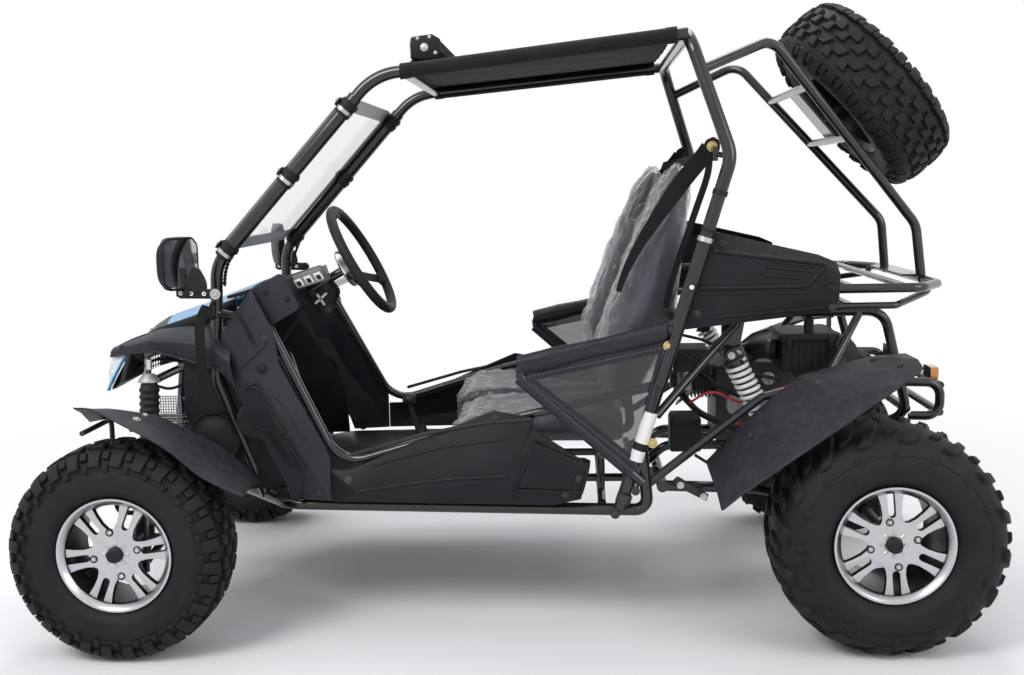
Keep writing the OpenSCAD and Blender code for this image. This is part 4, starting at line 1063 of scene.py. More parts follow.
def buildBelts():
    parts = []
    strap = ribbon("strap", beltLine, [(0, -1, 0)] * len(beltLine), 42, 2.2,
                   taper=lambda s: 1 if s < 0.45 else max(0.12, 1 - 1.25 * (s - 0.45)))
    second = ribbon("second", [(505, -424, 1195), (500, -424, 1140), (470, -424, 1050), (418, -424, 898), (400, -423, 820)],
                    [(0, -1, 0)] * 5, 16, 2.2)
    loop = bevelled(plate("loop", [(496, 1190), (520, 1186), (532, 1200), (531, 1222), (516, 1232), (498, 1224), (490, 1206)],
                          -414, -400), 5, 3)
    for piece in (strap, second, loop):
        parts.append(bothSides(paint(piece, mat["webbing"])))
    parts.append(bothSides(paint(boltHead("bolt", (512, -414, 1208), (0, -1, 0), 9, 7, 13), mat["brass"])))
    far = ribbon("inner", [(512, -300, 1205), (498, -290, 1190), (470, -270, 1180), (440, -262, 1172)], (0, -0.5, 1), 44, 2.2)
    parts.append(bothSides(paint(far, mat["webbing"])))
    return joined("belts", parts)


place(buildBelts(), "belts", "chassis", "webbing", ["belts"])
print("belts")

# Moulded panels: the CAD shells with rounded edges, bolts, grilles and recesses
def panelFace(obj, x, z):
    # where a line from the near side first meets the panel at this X and Z, in mm
    bpy.context.view_layer.update()
    hit, spot, normal, _ = obj.ray_cast(Vector((x, -900, z)) * unit, Vector((0, 1, 0)))
    return (spot / unit, normal) if hit else (Vector((x, -480, z)), Vector((0, -1, 0)))


def seatedBolts(obj, spots, metal="zinc", radius=6, washer=9.5, height=5):
    heads = []
    for x, z in spots:
        spot, normal = panelFace(obj, x, z)
        heads.append(bothSides(paint(boltHead("bolt", spot, normal, radius, height, washer), mat[metal])))
    return heads


def onPanel(obj, name, outline, height, bevel=2, tone="panel"):
    # a raised plate laid on the panel's near face
    middle = Vector((sum(p[0] for p in outline) / len(outline), 0, sum(p[1] for p in outline) / len(outline)))
    spot, normal = panelFace(obj, middle.x, middle.z)
    side = Vector((1, 0, 0)) - normal * normal.x
    side.normalize()
    up = normal.cross(side)
    lid = plate(name, [((p[0] - middle.x) / max(side.x, 0.5), (p[1] - middle.z) / max(up.z, 0.5) * (1 if up.z > 0 else -1))
                       for p in outline], -1.5, height, "Z")
    bevelled(lid, bevel, 3)
    lid.data.transform(frameMatrix(spot, side, up, normal))
    return bothSides(paint(lid, mat[tone]))


def drawn(obj, points, radius=3, tone="grip", closed=False, lift=-0.4):
    # a rounded rib or groove laid along the panel through points given as X and Z
    path = []
    ring = [*points, points[0]] if closed else points
    for (xa, za), (xb, zb) in zip(ring, ring[1:]):
        steps = max(2, int(sqrt((xb - xa) ** 2 + (zb - za) ** 2) / 12))
        for k in range(steps):
            path.append((xa + (xb - xa) * k / steps, za + (zb - za) * k / steps))
    path.append(ring[-1])
    spots = []
    for x, z in path:
        spot, normal = panelFace(obj, x, z)
        if not spots or abs(spot.y - spots[-1].y) < 40:
            spots.append(spot + normal * lift)
    return bothSides(paint(tube("drawn", spots, radius, sides=3), mat[tone]))


# Lines on the cowls: X and Z points, radius, finish, closed
cowlLines = [([(-654, 630), (-620, 646), (-549, 523), (-561, 516), (-624, 632)], 4.5, "grip", True),
             ([(-557, 507), (-541, 512), (-498, 432), (-508, 424)], 4, "grip", True),
             ([(-630, 533), (-577, 535), (-510, 412), (-520, 350)], 3, "panel", False),
             ([(-668, 677), (-600, 735), (-592, 750)], 2.5, "grip", False),
             ([(-640, 640), (-560, 600), (-500, 500)], 3, "grey", False)]
cowlBars = 6


def buildCowls():
    shell = paint(fromNode("cowls", "cowls", 2.2, 3, 12), mat["grey"])
    grooves = [drawn(shell, *line) for line in cowlLines]
    parts = seatedBolts(shell, [(-598, 758), (-523, 345), (-470, 365)], "steel")
    for k in range(cowlBars):
        spot, _ = panelFace(shell, -655 + 5 * k, 800 - 11 * k)
        bar = tube("bar", [spot + Vector((-14, -1, 14)), spot + Vector((16, -1, -16))], 2.2, sides=2)
        parts.append(bothSides(paint(bar, mat["grip"])))
    parts.append(onPanel(shell, "recess", [(-616, 523), (-575, 523), (-520, 440), (-560, 440)], 3, 2, "grip"))
    liner = turned("liner", [(0.1, 0), (44, 0), (50, 3), (50, 6), (0.1, 6)], 40)
    liner.data.transform(Matrix.Translation(Vector((-640, -395, 540)) * unit))
    parts.append(bothSides(paint(liner, mat["grip"])))
    parts += seatedBolts(shell, [(-607, 680)], "grip", 10, 14, 6)
    return joined("cowls", [shell, *parts, *grooves])


place(buildCowls(), "cowls", "chassis", "plastic_black", ["cowls"], 30)


# Lines on the side pods: X and Z points, radius, finish, closed
podLines = [([(78, 510), (26, 388), (189, 378), (208, 450)], 5, "panel", True),
            ([(-358, 379), (-240, 399), (-113, 416), (10, 424)], 5, "panel", False),
            ([(-380, 470), (-200, 520), (-40, 552), (70, 560)], 5, "grey", False),
            ([(-330, 440), (-150, 490), (0, 512)], 3.5, "grip", False)]


def buildPods():
    shell = paint(fromNode("side_pods", "sidePods", 2.4, 3, 12), mat["panel"])
    # dark steel heads: partly the bolts' own dark finish, partly painted shade of the recesses they sit in
    parts = seatedBolts(shell, [(181, 415), (150, 375), (-391, 404), (-20, 562)], "steel")
    parts.append(onPanel(shell, "podRecess", [(78, 506), (34, 395), (160, 386), (186, 440)], 5, 3))
    parts.append(onPanel(shell, "podRib", [(-350, 384), (-348, 379), (-120, 411), (-122, 417)], 3.5, 1.5))
    parts += [drawn(shell, *line) for line in podLines]
    return joined("sidePods", [shell, *parts])


place(buildPods(), "sidePods", "chassis", "plastic_black", ["side_pods"], 30)


# Lines on the rear panels: X and Z points, radius, finish
rearLines = [([(507, 961), (574, 952), (769, 927)], 5, "panel"),
             ([(470, 873), (718, 874), (732, 878), (766, 916)], 6, "panel"),
             ([(478, 858), (600, 860), (722, 858), (790, 888)], 3.5, "grip"),
             ([(640, 935), (745, 922)], 3.4, "grip"),
             ([(500, 800), (640, 812), (770, 822)], 4, "panel")]


def buildRearPanels():
    shell = paint(fromNode("rear_panels", "rearPanels", 2.2, 3, 12), mat["panel"])
    parts = seatedBolts(shell, [(530, 975), (786, 868)], "grip", 9, 13, 6)
    # dark steel heads: partly the bolts' own dark finish, partly painted shade of the recesses they sit in
    parts += seatedBolts(shell, [(470, 812), (790, 822)], "steel")
    for (xa, za), (xb, zb) in (((636, 921), (738, 910)), ((624, 903), (716, 893))):
        a, _ = panelFace(shell, xa, za)
        b, _ = panelFace(shell, xb, zb)
        slot = tube("slot", [a + Vector((0, -0.6, 0)), b + Vector((0, -0.6, 0))], 3.4, sides=3)
        parts.append(bothSides(paint(slot, mat["grip"])))
    parts += [drawn(shell, *line) for line in rearLines]
    return joined("rearPanels", [shell, *parts])


place(buildRearPanels(), "rearPanels", "chassis", "plastic_black", ["rear_panels"], 30)


# Hood: pale blue plate with dark side strips
hoodLine = [(-1003, 748), (-994, 757), (-944, 783), (-885, 802), (-817, 824), (-761, 847), (-704, 868), (-690, 871)]
hoodSide = [(-1003, 182), (-994, 196), (-944, 250), (-885, 285), (-817, 296), (-761, 300), (-690, 302)]


def buildHood():
    def laid(x, y, z):
        along = -1003 + 313 * (y + 1) / 2
        half = lookUp(hoodSide, along)
        up = lookUp(hoodLine, along) + 3 - 25 * abs(x) ** 2.2
        ridge = 3.5 * max(0, 1 - abs(abs(x) - 0.52) / 0.07) * max(0, 1 - abs(y) ** 8)
        return along, half * x, up + ridge - 3.5 * (1 - z)
    top = paint(mapped("hood", 44, 60, laid), mat["blue"], mat["panel"])
    paintFaces(top, 1, lambda c, n: c.x < -0.945 + 0.05 * (abs(c.y) / 0.28) ** 2)

    def strip(x, y, z):
        along = -1000 + 300 * (y + 1) / 2
        drop = 34 * (x + 1) / 2 * min(1, (along + 1000) / 60 + 0.3)
        return along, -lookUp(hoodSide, along) - 1 - 4 * sin(pi * (x + 1) / 2) - 3 * z, lookUp(hoodLine, along) - 21 - drop
    side = bothSides(paint(mapped("strip", 6, 24, strip), mat["panel"]))
    heads = [bothSides(paint(boltHead("bolt", (x, -lookUp(hoodSide, x) + 14, lookUp(hoodLine, x) - 17), (0, -0.2, 0.98), 5, 4, 8),
                             mat["zinc"])) for x in (-960, -712)]
    return joined("hood", [top, side, *heads])


place(buildHood(), "hood", "chassis", "hood_blue", ["hood"], 35)

# Nose: the CAD corners, a long side shell with its arched lower edge, and the mesh between them
noseTop = [(-1050, -262, 712), (-1040, -290, 720), (-990, -300, 739), (-910, -302, 768), (-831, -306, 777),
           (-778, -312, 777), (-734, -330, 759), (-697, -376, 735)]
noseLow = [(-1056, -262, 698), (-1046, -300, 697), (-999, -326, 708), (-904, -370, 720), (-842, -374, 705), (-783, -382, 688),
           (-723, -397, 673), (-682, -414, 636)]


def buildNose():
    shell = paint(fromNode("nose_fairing", "noseFairing", 5, 4, 15), mat["grey"])

    def laid(x, y, z):
        t = (y + 1) / 2 * (len(noseTop) - 1)
        i = min(int(t), len(noseTop) - 2)
        top = Vector(noseTop[i]).lerp(Vector(noseTop[i + 1]), t - i)
        low = Vector(noseLow[i]).lerp(Vector(noseLow[i + 1]), t - i)
        v = (x + 1) / 2
        spot = top.lerp(low, v)
        out = top.y + (low.y - top.y) * min(1, v / 0.4) ** 0.6
        return spot.x, out - 6 * sin(pi * v) - 3 * z * (1 if v < 0.97 else 0), spot.z
    side = mapped("side", 12, 42, laid)
    lip = tube("lip", [Vector(p) + Vector((0, -1, 0)) for p in noseLow], 3.6, 16, sides=3)
    tip = mapped("tip", 30, 6, lambda x, y, z: (
        -1052 - 16 * (1 - abs(x) ** 2.2) - 6 * z * (1 - y * y) ** 0.5, 262 * x, 706 + 8 * y + 4 * (1 - x * x)))
    parts = [shell, bothSides(paint(side, mat["grey"])), bothSides(paint(lip, mat["grey"])), paint(tip, mat["grey"])]
    for k in range(12):
        rod = tube("rod", [(-1052, -112 + 20.4 * k, 614), (-1050, -112 + 20.4 * k, 700)], 1.6, sides=2)
        parts.append(paint(rod, mat["panel"]))
    for k in range(5):
        parts.append(paint(tube("rod", [(-1053, -115, 622 + 18 * k), (-1053, 115, 622 + 18 * k)], 1.6, sides=2), mat["panel"]))
    for x, y, z in ((-706, -408, 668), (-1002, -326, 722)):
        parts.append(bothSides(paint(boltHead("bolt", (x, y, z), (0, -1, 0.1), 5, 4, 8), mat["grip"])))
    return joined("noseFairing", parts)


place(buildNose(), "noseFairing", "chassis", "plastic_grey", ["nose_fairing"], 35)

# Head lamps that wrap the corners, and amber tail lamps
lampFront = [(-1061, 606), (-1062, 640), (-1059, 665), (-1049, 691), (-1024, 707), (-1000, 713)]
lampRear = [(-1052, 611), (-1037, 640), (-1022, 665), (-1007, 690), (-993, 706), (-986, 712)]


def lampShape(back, thick):
    def laid(x, y, z):
        t = (y + 1) / 2 * (len(lampFront) - 1)
        i = min(int(t), len(lampFront) - 2)
        k = t - i
        ahead = Vector(lampFront[i]).lerp(Vector(lampFront[i + 1]), k)
        behind = Vector(lampRear[i]).lerp(Vector(lampRear[i + 1]), k)
        s = (x + 1) / 2
        spot = behind.lerp(ahead, min(1, s / 0.34) ** 0.55)
        return spot.x + back - thick * z, -318 + 108 * s, spot.y
    return laid


def buildLamps():
    case = paint(mapped("case", 16, 16, lampShape(9, 2)), mat["chrome"])
    bowls = []
    for y, z in ((-276, 648), (-242, 668)):
        bowl = turned("bowl", [(16.5, 0), (15, 2), (9, 11), (5, 13), (5, 5), (0.1, 3)], 28)
        bowl.data.transform(Matrix.Translation(Vector((-1057, y, z)) * unit) @ Matrix.Rotation(radians(-90), 4, "Z"))
        bowls.append(paint(bowl, mat["chrome"]))
    edge = [Vector((x, -317, z)) for x, z in lampRear] + [Vector((lampFront[-1][0], -210, lampFront[-1][1]))]
    trim = paint(tube("trim", edge, 3.2, 10, sides=3), mat["blue"])
    low = paint(tube("low", [(-1052, -317, 611), (-1061, -290, 606), (-1061, -210, 606)], 3.2, 8, sides=3), mat["blue"])
    tail = mapped("tail", 8, 8, lambda x, y, z: (
        1096 + 20 * z + 5 * z * (1 - x * x) * (1 - y * y), -205 + 33 * x * (1 - 0.08 * abs(y) ** 6),
        620 + 16 * y * (1 - 0.08 * abs(x) ** 6)))
    paint(tail, mat["amber"], mat["panel"])
    paintFaces(tail, 1, lambda c, n: c.x < 1.104)
    foot = paint(block("foot", (1100, -218, 603), (1112, -192, 606)), mat["panel"])
    return bothSides(joined("lamps", [case, *bowls, trim, low, tail, foot]))


place(buildLamps(), "lamps", "chassis", "lamp_lens", ["lamps"], 40)
lampLens = mapped("lampLens", 18, 18, lampShape(0, 2))
place(bothSides(paint(lampLens, mat["lens"])), "lampLenses", "chassis", "lamp_lens", smooth=40)
print("hood, nose and lamps")


# What shows in the front wheel arch: liner, round cover, perforated plate, boxes, cylinders and a hanging strap
archHoses = [((-1010, -300, 640), (-930, -290, 690), (-800, -230, 660)),
             ((-960, -240, 610), (-900, -270, 600), (-820, -250, 640)),
             ((-1000, -220, 690), (-900, -200, 700), (-820, -180, 690)),
             ((-820, -300, 700), (-760, -330, 600), (-730, -335, 520))]


def buildArch():
    liner = plate("liner", [(-842, 560), (-836, 700), (-720, 742), (-640, 640), (-556, 500), (-548, 352), (-700, 348),
                            (-800, 420)],
                  -344, -340)
    bevelled(liner, 1.5, 2)
    disc = turned("disc", [(0.1, 8), (40, 8), (46, 4), (60, 4), (66, 9), (69, 9), (71, 4), (70, 0), (0.1, 0)], 56)
    disc.data.transform(Matrix.Translation(Vector((-764, -346, 486)) * unit) @ Matrix.Rotation(pi, 4, "Z"))
    box = bevelled(block("box", (-872, -150, 612), (-772, 150, 684)), 5, 3)
    ribs = []
    for k in range(7):
        rib = block("rib", (-868 + 15 * k, -154, 618), (-862 + 15 * k, -149, 678))
        ribs.append(paint(bevelled(rib, 1, 1), mat["grip"]))
    parts = [paint(bothSides(liner), mat["panel"]), paint(bothSides(disc), mat["grip"]), paint(box, mat["panel"]), *ribs]
    for y, z, r in ((-236, 628, 15), (-262, 668, 11), (-200, 660, 13)):
        cylinder = turned("cylinder", [(0.1, 0), (r * 0.6, 0), (r * 0.6, 14), (r, 16), (r, 58), (r * 0.8, 62),
                                       (r * 0.8, 74), (0.1, 74)], 24)
        cylinder.data.transform(Matrix.Translation(Vector((-880, y, z)) * unit) @ Matrix.Rotation(radians(-82), 4, "Z"))
        parts.append(bothSides(paint(cylinder, mat["cast"] if r == 11 else mat["panel"])))
    for a, b, c in archHoses:
        parts.append(bothSides(paint(tube("hose", roundedPath([a, b, c], 60, 10), 4, sides=3), mat["grip"])))
    lattice = surfaced("lattice", 12, 11, lambda x, y, z: (-925 + 42 * x, -250, 540 + 40 * y))
    applyModifier(lattice, "WIREFRAME", thickness=0.0026, use_boundary=True)
    parts.append(bothSides(paint(lattice, mat["zinc"])))
    strap = ribbon("strap", [(-748, -404, 838), (-756, -424, 812), (-760, -432, 780), (-760, -432, 690), (-759, -431, 575)],
                   [(0, -0.8, 0.6), (0, -1, 0.2), (0, -1, 0), (0, -1, 0), (0, -1, 0)], 25, 2.4)
    loop = tube("loop", [(-738, -372, 806), (-738, -398, 806), (-738, -398, 842), (-738, -372, 842)], 5, 6, sides=3)
    parts += [bothSides(paint(strap, mat["webbing"])), bothSides(paint(loop, mat["panel"]))]
    return joined("archFittings", parts)


place(buildArch(), "archFittings", "chassis", "plastic_black", smooth=35)
print("wheel arch fittings")


# Dash: slate side plates, the black shelf, and the switch panel by the column
def buildDash():
    shelf = bevelled(plate("shelf", [(-704, 860), (-635, 879), (-553, 908), (-521, 829), (-533, 829), (-560, 893),
                                      (-631, 868), (-702, 852)], -378, 40), 2, 2, 20)
    cheek = bevelled(plate("cheek", [(-640, 876), (-566, 915), (-552, 912), (-517, 832), (-522, 822), (-590, 783)],
                           -390, -381), 3, 3)
    bar = tube("bar", [(-545, -378, 838), (-545, 378, 838)], 11, sides=6)
    case = bevelled(plate("case", [(-573, 896), (-476, 927), (-464, 890), (-553, 864)], -312, -236), 3, 3)
    bracket = bevelled(plate("bracket", [(-552, 864), (-466, 888), (-450, 868), (-458, 812), (-478, 786),
                                          (-500, 790), (-538, 832)], -226, -219), 4, 3)
    parts = [paint(shelf, mat["panel"]), paint(cheek, mat["grey"]), paint(bar, mat["frame"]), paint(case, mat["switchGrey"]),
             paint(bracket, mat["panel"])]
    along = Vector((97, 0, 31)).normalized()
    down = Vector((20, 0, -32)).normalized()
    for k in range(3):
        at = Vector((-556, -312, 889)) + along * (9 + 27 * k)
        label = plate("label", [(0, 0), (19, 0), (19, 22), (0, 22)], -1.4, 0.2, "Z")
        bevelled(label, 1, 2)
        label.data.transform(frameMatrix(at, along, down, along.cross(down)))
        rocker = plate("rocker", [(4, 7), (15, 7), (15, 20), (4, 20)], -5, -1.2, "Z")
        bevelled(rocker, 1.6, 2)
        rocker.data.transform(frameMatrix(at, along, down, along.cross(down)))
        for piece in (label, rocker):
            if sum(v.co.y for v in piece.data.vertices) / len(piece.data.vertices) > -0.312:
                for v in piece.data.vertices:
                    v.co.y = -0.624 - v.co.y
                outward(piece)
        parts += [paint(label, mat["whiteTape"]), paint(rocker, mat["grip"])]
    for x, z in ((-520, 850), (-480, 868), (-478, 806)):
        parts.append(paint(boltHead("bolt", (x, -226, z), (0, -1, 0), 6, 5, 9), mat["steel"]))
    for a, b in (((-512, -229, 822), (-480, -229, 850)), ((-506, -229, 848), (-486, -229, 818))):
        parts.append(paint(ribbon("tie", [a, b], (0, -1, 0), 6, 1.4, 3), mat["whiteTape"]))
    for a, b, c in (((-560, -270, 862), (-545, -250, 800), (-600, -262, 720)),
                    ((-540, -290, 862), (-520, -262, 822), (-500, -226, 800)),
                    ((-470, -232, 880), (-440, -240, 860), (-462, -226, 820))):
        parts.append(paint(tube("wire", roundedPath([a, b, c], 40, 8), 4, sides=3), mat["grip"]))
    for x, z in ((-600, 868), (-545, 850), (-600, 800)):
        parts.append(paint(boltHead("bolt", (x, -390, z), (0, -1, 0), 5, 3.5, 7.5), mat["panel"]))
    return joined("dash", parts)


place(buildDash(), "dash", "chassis", "plastic_black", ["dash_panel"], 35)

# Steering wheel: fat grip, silver dished hub and three black spokes with square ends
wheelFacts = {"hub": (-385, -215, 937), "rim": 148, "grip": 13, "spokes": (90, 210, 330)}
columnDir = Vector((0.87462, 0, 0.48481))


def buildSteeringWheel():
    ring = [(wheelFacts["rim"] * cos(2 * pi * k / 72), wheelFacts["rim"] * sin(2 * pi * k / 72), 0) for k in range(72)]
    grip = tube("grip", ring, wheelFacts["grip"], 0, True, sides=6)
    parts = [paint(grip, mat["grip"])]
    dish = turned("dish", [(0.1, -30), (22, -30), (28, -33), (50, -44), (54, -49), (50, -54), (24, -58), (0.1, -58)], 48)
    dish.data.transform(Matrix.Rotation(radians(90), 4, "X"))
    cap = turned("cap", [(0.1, -20), (16, -20), (22, -23), (24, -31), (0.1, -31)], 40)
    cap.data.transform(Matrix.Rotation(radians(90), 4, "X"))
    parts += [paint(dish, mat["zinc"]), paint(cap, mat["panel"])]
    for angle in wheelFacts["spokes"]:
        spoke = mapped("spoke", 3, 10, lambda x, y, z: (
            26 + 0.5 * (y + 1) * (wheelFacts["rim"] - 30), (13 + 3 * max(0, y) ** 4) * x,
            -42 + 42 * (0.5 * (y + 1)) ** 1.6 + 5 * z - 2.5))
        bevelled(spoke, 1.2, 2)
        pad = bevelled(block("pad", (wheelFacts["rim"] - 22, -17, -13), (wheelFacts["rim"] + 2, 17, 6)), 4, 3)
        for piece in (spoke, pad):
            piece.data.transform(Matrix.Rotation(radians(angle), 4, "Z"))
            parts.append(paint(piece, mat["panel"]))
        bolt = boltHead("bolt", (38, 0, -34), (0, 0, 1), 4, 3, 6)
        bolt.data.transform(Matrix.Rotation(radians(angle), 4, "Z"))
        parts.append(paint(bolt, mat["zinc"]))
    wheel = joined("steeringWheel", parts)
    wheel.data.transform(frameMatrix(wheelFacts["hub"], (0, 1, 0), (-columnDir.z, 0, columnDir.x), columnDir))
    return wheel


place(buildSteeringWheel(), "steeringWheel", "steering_wheel", "grip_black", ["steering_wheel"], 40)
print("dash and steering wheel")


# Mudguards with rolled lips and bolts
def dropped(obj, x, y):
    # where a line from above meets the piece
    bpy.context.view_layer.update()
    _, spot, normal, _ = obj.ray_cast(Vector((x, y, 1100)) * unit, Vector((0, 0, -1)))
    return spot / unit, normal


for side, end in ((-1, "left"), (1, "right")):
    guard = paint(fromNode("front_fender_" + end, "frontFender" + end.title(), 1.6, 2, 25), mat["grey"])
    for vertex in guard.data.vertices:
        ahead = max(0, (-890 - vertex.co.x / unit) / 135)
        vertex.co.x += 0.03 * ahead * max(0, (abs(vertex.co.y) - 0.53) / 0.135)
    heads = [paint(boltHead("bolt", *dropped(guard, x, side * y), 6, 4.5, 9.5), mat["zinc"])
             for x in (-989, -866) for y in (548, 606)]
    guard = joined(guard.name, [guard, *heads])
    place(guard, guard.name, "knuckle_" + end, "plastic_grey", ["front_fender_" + end], 40)


def buildRearFenders():
    guard = paint(fromNode("rear_fenders", "rearFenders", 2.4, 3, 8), mat["grey"])
    heads = [bothSides(paint(boltHead("bolt", *dropped(guard, x, -y), 7, 5, 11), mat["steel"]))
             for x, y in ((600, 470), (760, 470), (900, 440), (930, 560))]
    return joined("rearFenders", [guard, *heads])


place(buildRearFenders(), "rearFenders", "chassis", "plastic_grey", ["rear_fenders"], 25)
print("mudguards")


# Mirrors on drilled arms
def buildMirrors():
    shell = mapped("mirrorShell", 14, 12, lambda x, y, z: (
        -786 - z * (7 + 17 * (1 - (0.5 * abs(x) ** 3 + 0.5 * abs(y) ** 3)) ** 0.6), 477 + 61 * x * (1 - 0.14 * abs(y) ** 4),
        950 + 65 * y * (1 - 0.18 * abs(x) ** 4)))
    around = [2 * pi * k / 48 for k in range(48)]
    square = [(max(-1, min(1, 1.22 * cos(t))), max(-1, min(1, 1.22 * sin(t)))) for t in around]
    glass = plate("glass", [(477 + 55 * u, 950 + 59 * v) for u, v in square], -786.5, -784.6, "X")
    bezel = tube("bezel", [(-787, 477 + 57 * u, 950 + 61 * v) for u, v in square], 3.6, 0, True, sides=3)
    for piece in (shell, glass, bezel):
        piece.data.transform(Matrix.Translation(Vector((-786, 477, 0)) * unit) @ Matrix.Rotation(radians(26), 4, "Z")
                             @ Matrix.Translation(Vector((790, -477, 0)) * unit))
    arm = plate("arm", [(-800, 886), (-792, 890), (-700, 886), (-688, 874), (-698, 862), (-790, 864), (-800, 870)], 468, 474)
    bevelled(arm, 1.2, 2)
    ball = turned("ball", [(0.1, -9), (9, -6), (12, 0), (9, 6), (0.1, 9)], 20)
    ball.data.transform(Matrix.Translation(Vector((-774, 471, 878)) * unit))
    joint = mapped("joint", 12, 12, lambda x, y, z: (
        -752 + (24 - 9 * y) * x * (1 - 0.2 * y * y), 462 + 16 * z * (1 - x * x * 0.6), 910 + 30 * y * (1 - 0.2 * x * x)))
    washers = [paint(joint, mat["grip"])]
    for x, z in ((-788, 877), (-762, 876), (-730, 875)):
        for face, y in ((-1, 468), (1, 474)):
            ring = turned("ring", [(2.4, 0), (5.2, 0), (5.2, 1.2), (2.4, 1.2)], 18)
            ring.data.transform(Matrix.Translation(Vector((x, y - (1.2 if face < 0 else 0), z)) * unit))
            washers.append(paint(ring, mat["whiteTape"]))
    pieces = [paint(shell, mat["panel"]), paint(glass, mat["mirrorGlass"]), paint(bezel, mat["panel"]),
              paint(arm, mat["panel"]), paint(ball, mat["grip"]), *washers]
    pieces.append(paint(boltHead("bolt", (-702, 474, 874), (0, 1, 0), 8, 7, 13), mat["zinc"]))
    return bothSides(joined("mirrors", pieces))


place(buildMirrors(), "mirrors", "chassis", "grip_black", ["mirrors"], 40)
print("mirrors")


def between(obj, a, b):
    # turns a lathed piece, made along +Y, so that it runs from a towards b
    a, b = Vector(a), Vector(b)
    obj.data.transform(Vector((0, 1, 0)).rotation_difference((b - a).normalized()).to_matrix().to_4x4())
    obj.data.transform(Matrix.Translation(a * unit))
    return obj


def coil(name, a, b, radius, wire, turns):
    a, b = Vector(a), Vector(b)
    ahead = (b - a).normalized()
    side = ahead.cross(Vector((0, 1, 0))).normalized()
    up = side.cross(ahead)
    steps = turns * 20
    path = [a.lerp(b, k / steps) + (side * cos(2 * pi * k / 20) + up * sin(2 * pi * k / 20)) * radius for k in range(steps + 1)]
    return tube(name, path, wire, sides=3)


# Shocks: white coils behind, ribbed black boots in front
rearShock = {"top": Vector((569, -342, 690)), "low": Vector((716, -342, 404)), "start": 24, "end": 214, "radius": 25,
             "wire": 5.4, "turns": 12}
frontShock = {"top": Vector((-926.5, -350, 668)), "low": Vector((-926.5, -400.5, 270)), "ribs": 13, "pitch": 17.5,
              "first": 46}


def buildShocks():
    top, low = rearShock["top"], rearShock["low"]
    down = (low - top).normalized()
    spring = coil("spring", top + down * rearShock["start"], top + down * rearShock["end"], rearShock["radius"],
                  rearShock["wire"], rearShock["turns"])
    body = between(turned("body", [(0.1, 8), (12, 9), (24, 12), (29, 14), (29, 18), (16, 20), (16, 200), (12, 214), (31, 218),
                                   (31, 224), (15, 228), (12, 312), (0.1, 314)], 32), top, low)
    parts = [paint(spring, mat["white"]), paint(body, mat["steel"])]
    for at in (top, low):
        eye = turned("eye", [(7, -15), (15, -15), (17, -12), (17, 12), (15, 15), (7, 15)], 28)
        eye.data.transform(Matrix.Translation(at * unit))
        parts += [paint(eye, mat["steel"]), paint(boltHead("bolt", at + Vector((0, -15, 0)), (0, -1, 0), 6, 7, 9), mat["zinc"])]
    top, low = frontShock["top"], frontShock["low"]
    reach = (low - top).length
    ribs = []
    for k in range(frontShock["ribs"]):
        at = frontShock["first"] + frontShock["pitch"] * k
        ribs += [(23, at), (26, at + 5), (26, at + 8.5), (23, at + 13)]
    bootBody = between(turned("boot", [(0.1, 30), (19, 30), (22, 40), *ribs, (22, 278), (18, 284), (0.1, 284)], 36), top, low)
    cup = between(turned("cup", [(0.1, 8), (14, 10), (26, 24), (28, 28), (28, 33), (0.1, 33)], 32), top, low)
    leg = between(turned("leg", [(0.1, 280), (15, 282), (16, 300), (12, 304), (12, reach - 4), (0.1, reach)], 28), top, low)
    parts += [paint(bootBody, mat["grip"]), paint(cup, mat["cast"]), paint(leg, mat["cast"])]
    stem = tube("stem", [top, (-926.5, -346.6, 694)], 8, sides=4)
    foot = tube("foot", [low, (-926.5, -405, 236)], 9, sides=4)
    cross = tube("cross", [(-950, -405, 234.4), (-903, -405, 234.4)], 13.5, sides=5)
    parts += [paint(stem, mat["zinc"]), paint(foot, mat["steel"]), paint(cross, mat["steel"])]
    return bothSides(joined("shocks", parts))


place(buildShocks(), "shocks", "chassis", "spring_white", ["shocks"], 40)
print("shocks")


# Side guards: tube, padded cover along the top, hemmed see-through infill
guardFacts = {"corner": (11, -504, 690), "back": (422.3, -489.3, 776), "foot": (338, -492, 400)}


def buildGuardTubes():
    line = tube("tubes", [guardFacts["back"], guardFacts["corner"], guardFacts["foot"]], 12.5, 40, sides=6)
    parts = [paint(line, mat["frame"])]
    for x, z in ((362, 500), (400, 737)):
        parts.append(paint(boltHead("bolt", (x, -500, z), (0, -1, 0), 8, 6, 12), mat["brass"]))
    corner, back = Vector(guardFacts["corner"]), Vector(guardFacts["back"])
    ahead = (back - corner).normalized()
    for step in (52, 140, 228, 316, 396):
        spot = corner + ahead * step
        band = tube("band", [spot - ahead * 3.5, spot + ahead * 3.5], 14.4, sides=6)
        parts.append(paint(band, mat["webbing"]))
    return bothSides(joined("sideGuards", parts))


def padShape(x, y, z):
    # a soft sleeve hung over the top tube, deeper at the front
    t = (y + 1) / 2
    corner, back = Vector(guardFacts["corner"]), Vector(guardFacts["back"])
    spot = corner.lerp(back, 0.06 + 0.88 * t)
    turn = pi * x
    thick = 18 + 3 * sin(9 * t) * 0.4 + (3 if abs(x) > 0.6 else 0)
    down = (13 - 6 * t) * max(0, -cos(turn)) ** 1.5
    end = (1 - abs(y) ** 14) ** 0.5 * 0.35 + 0.65
    inner = 13.6
    radius = inner + (thick - inner) * end * z if z > 0 else inner
    return spot.x, spot.y + radius * sin(turn), spot.z + 4 + radius * cos(turn) - down * (1 if z > 0.5 else 0.9)


def infillShape(x, y, z):
    # three-cornered sheet between the tubes, pulled a little towards its middle
    u, v = (x + 1) / 2, (y + 1) / 2
    top = Vector((30, -500, 683)).lerp(Vector((404, -491, 757)), u)
    low = Vector((30, -500, 683)).lerp(Vector((330, -494, 414)), 0.02 + 0.98 * u)
    spot = top.lerp(low, v)
    sag = 7 * sin(pi * u) * sin(pi * v)
    return spot.x, spot.y + sag, spot.z


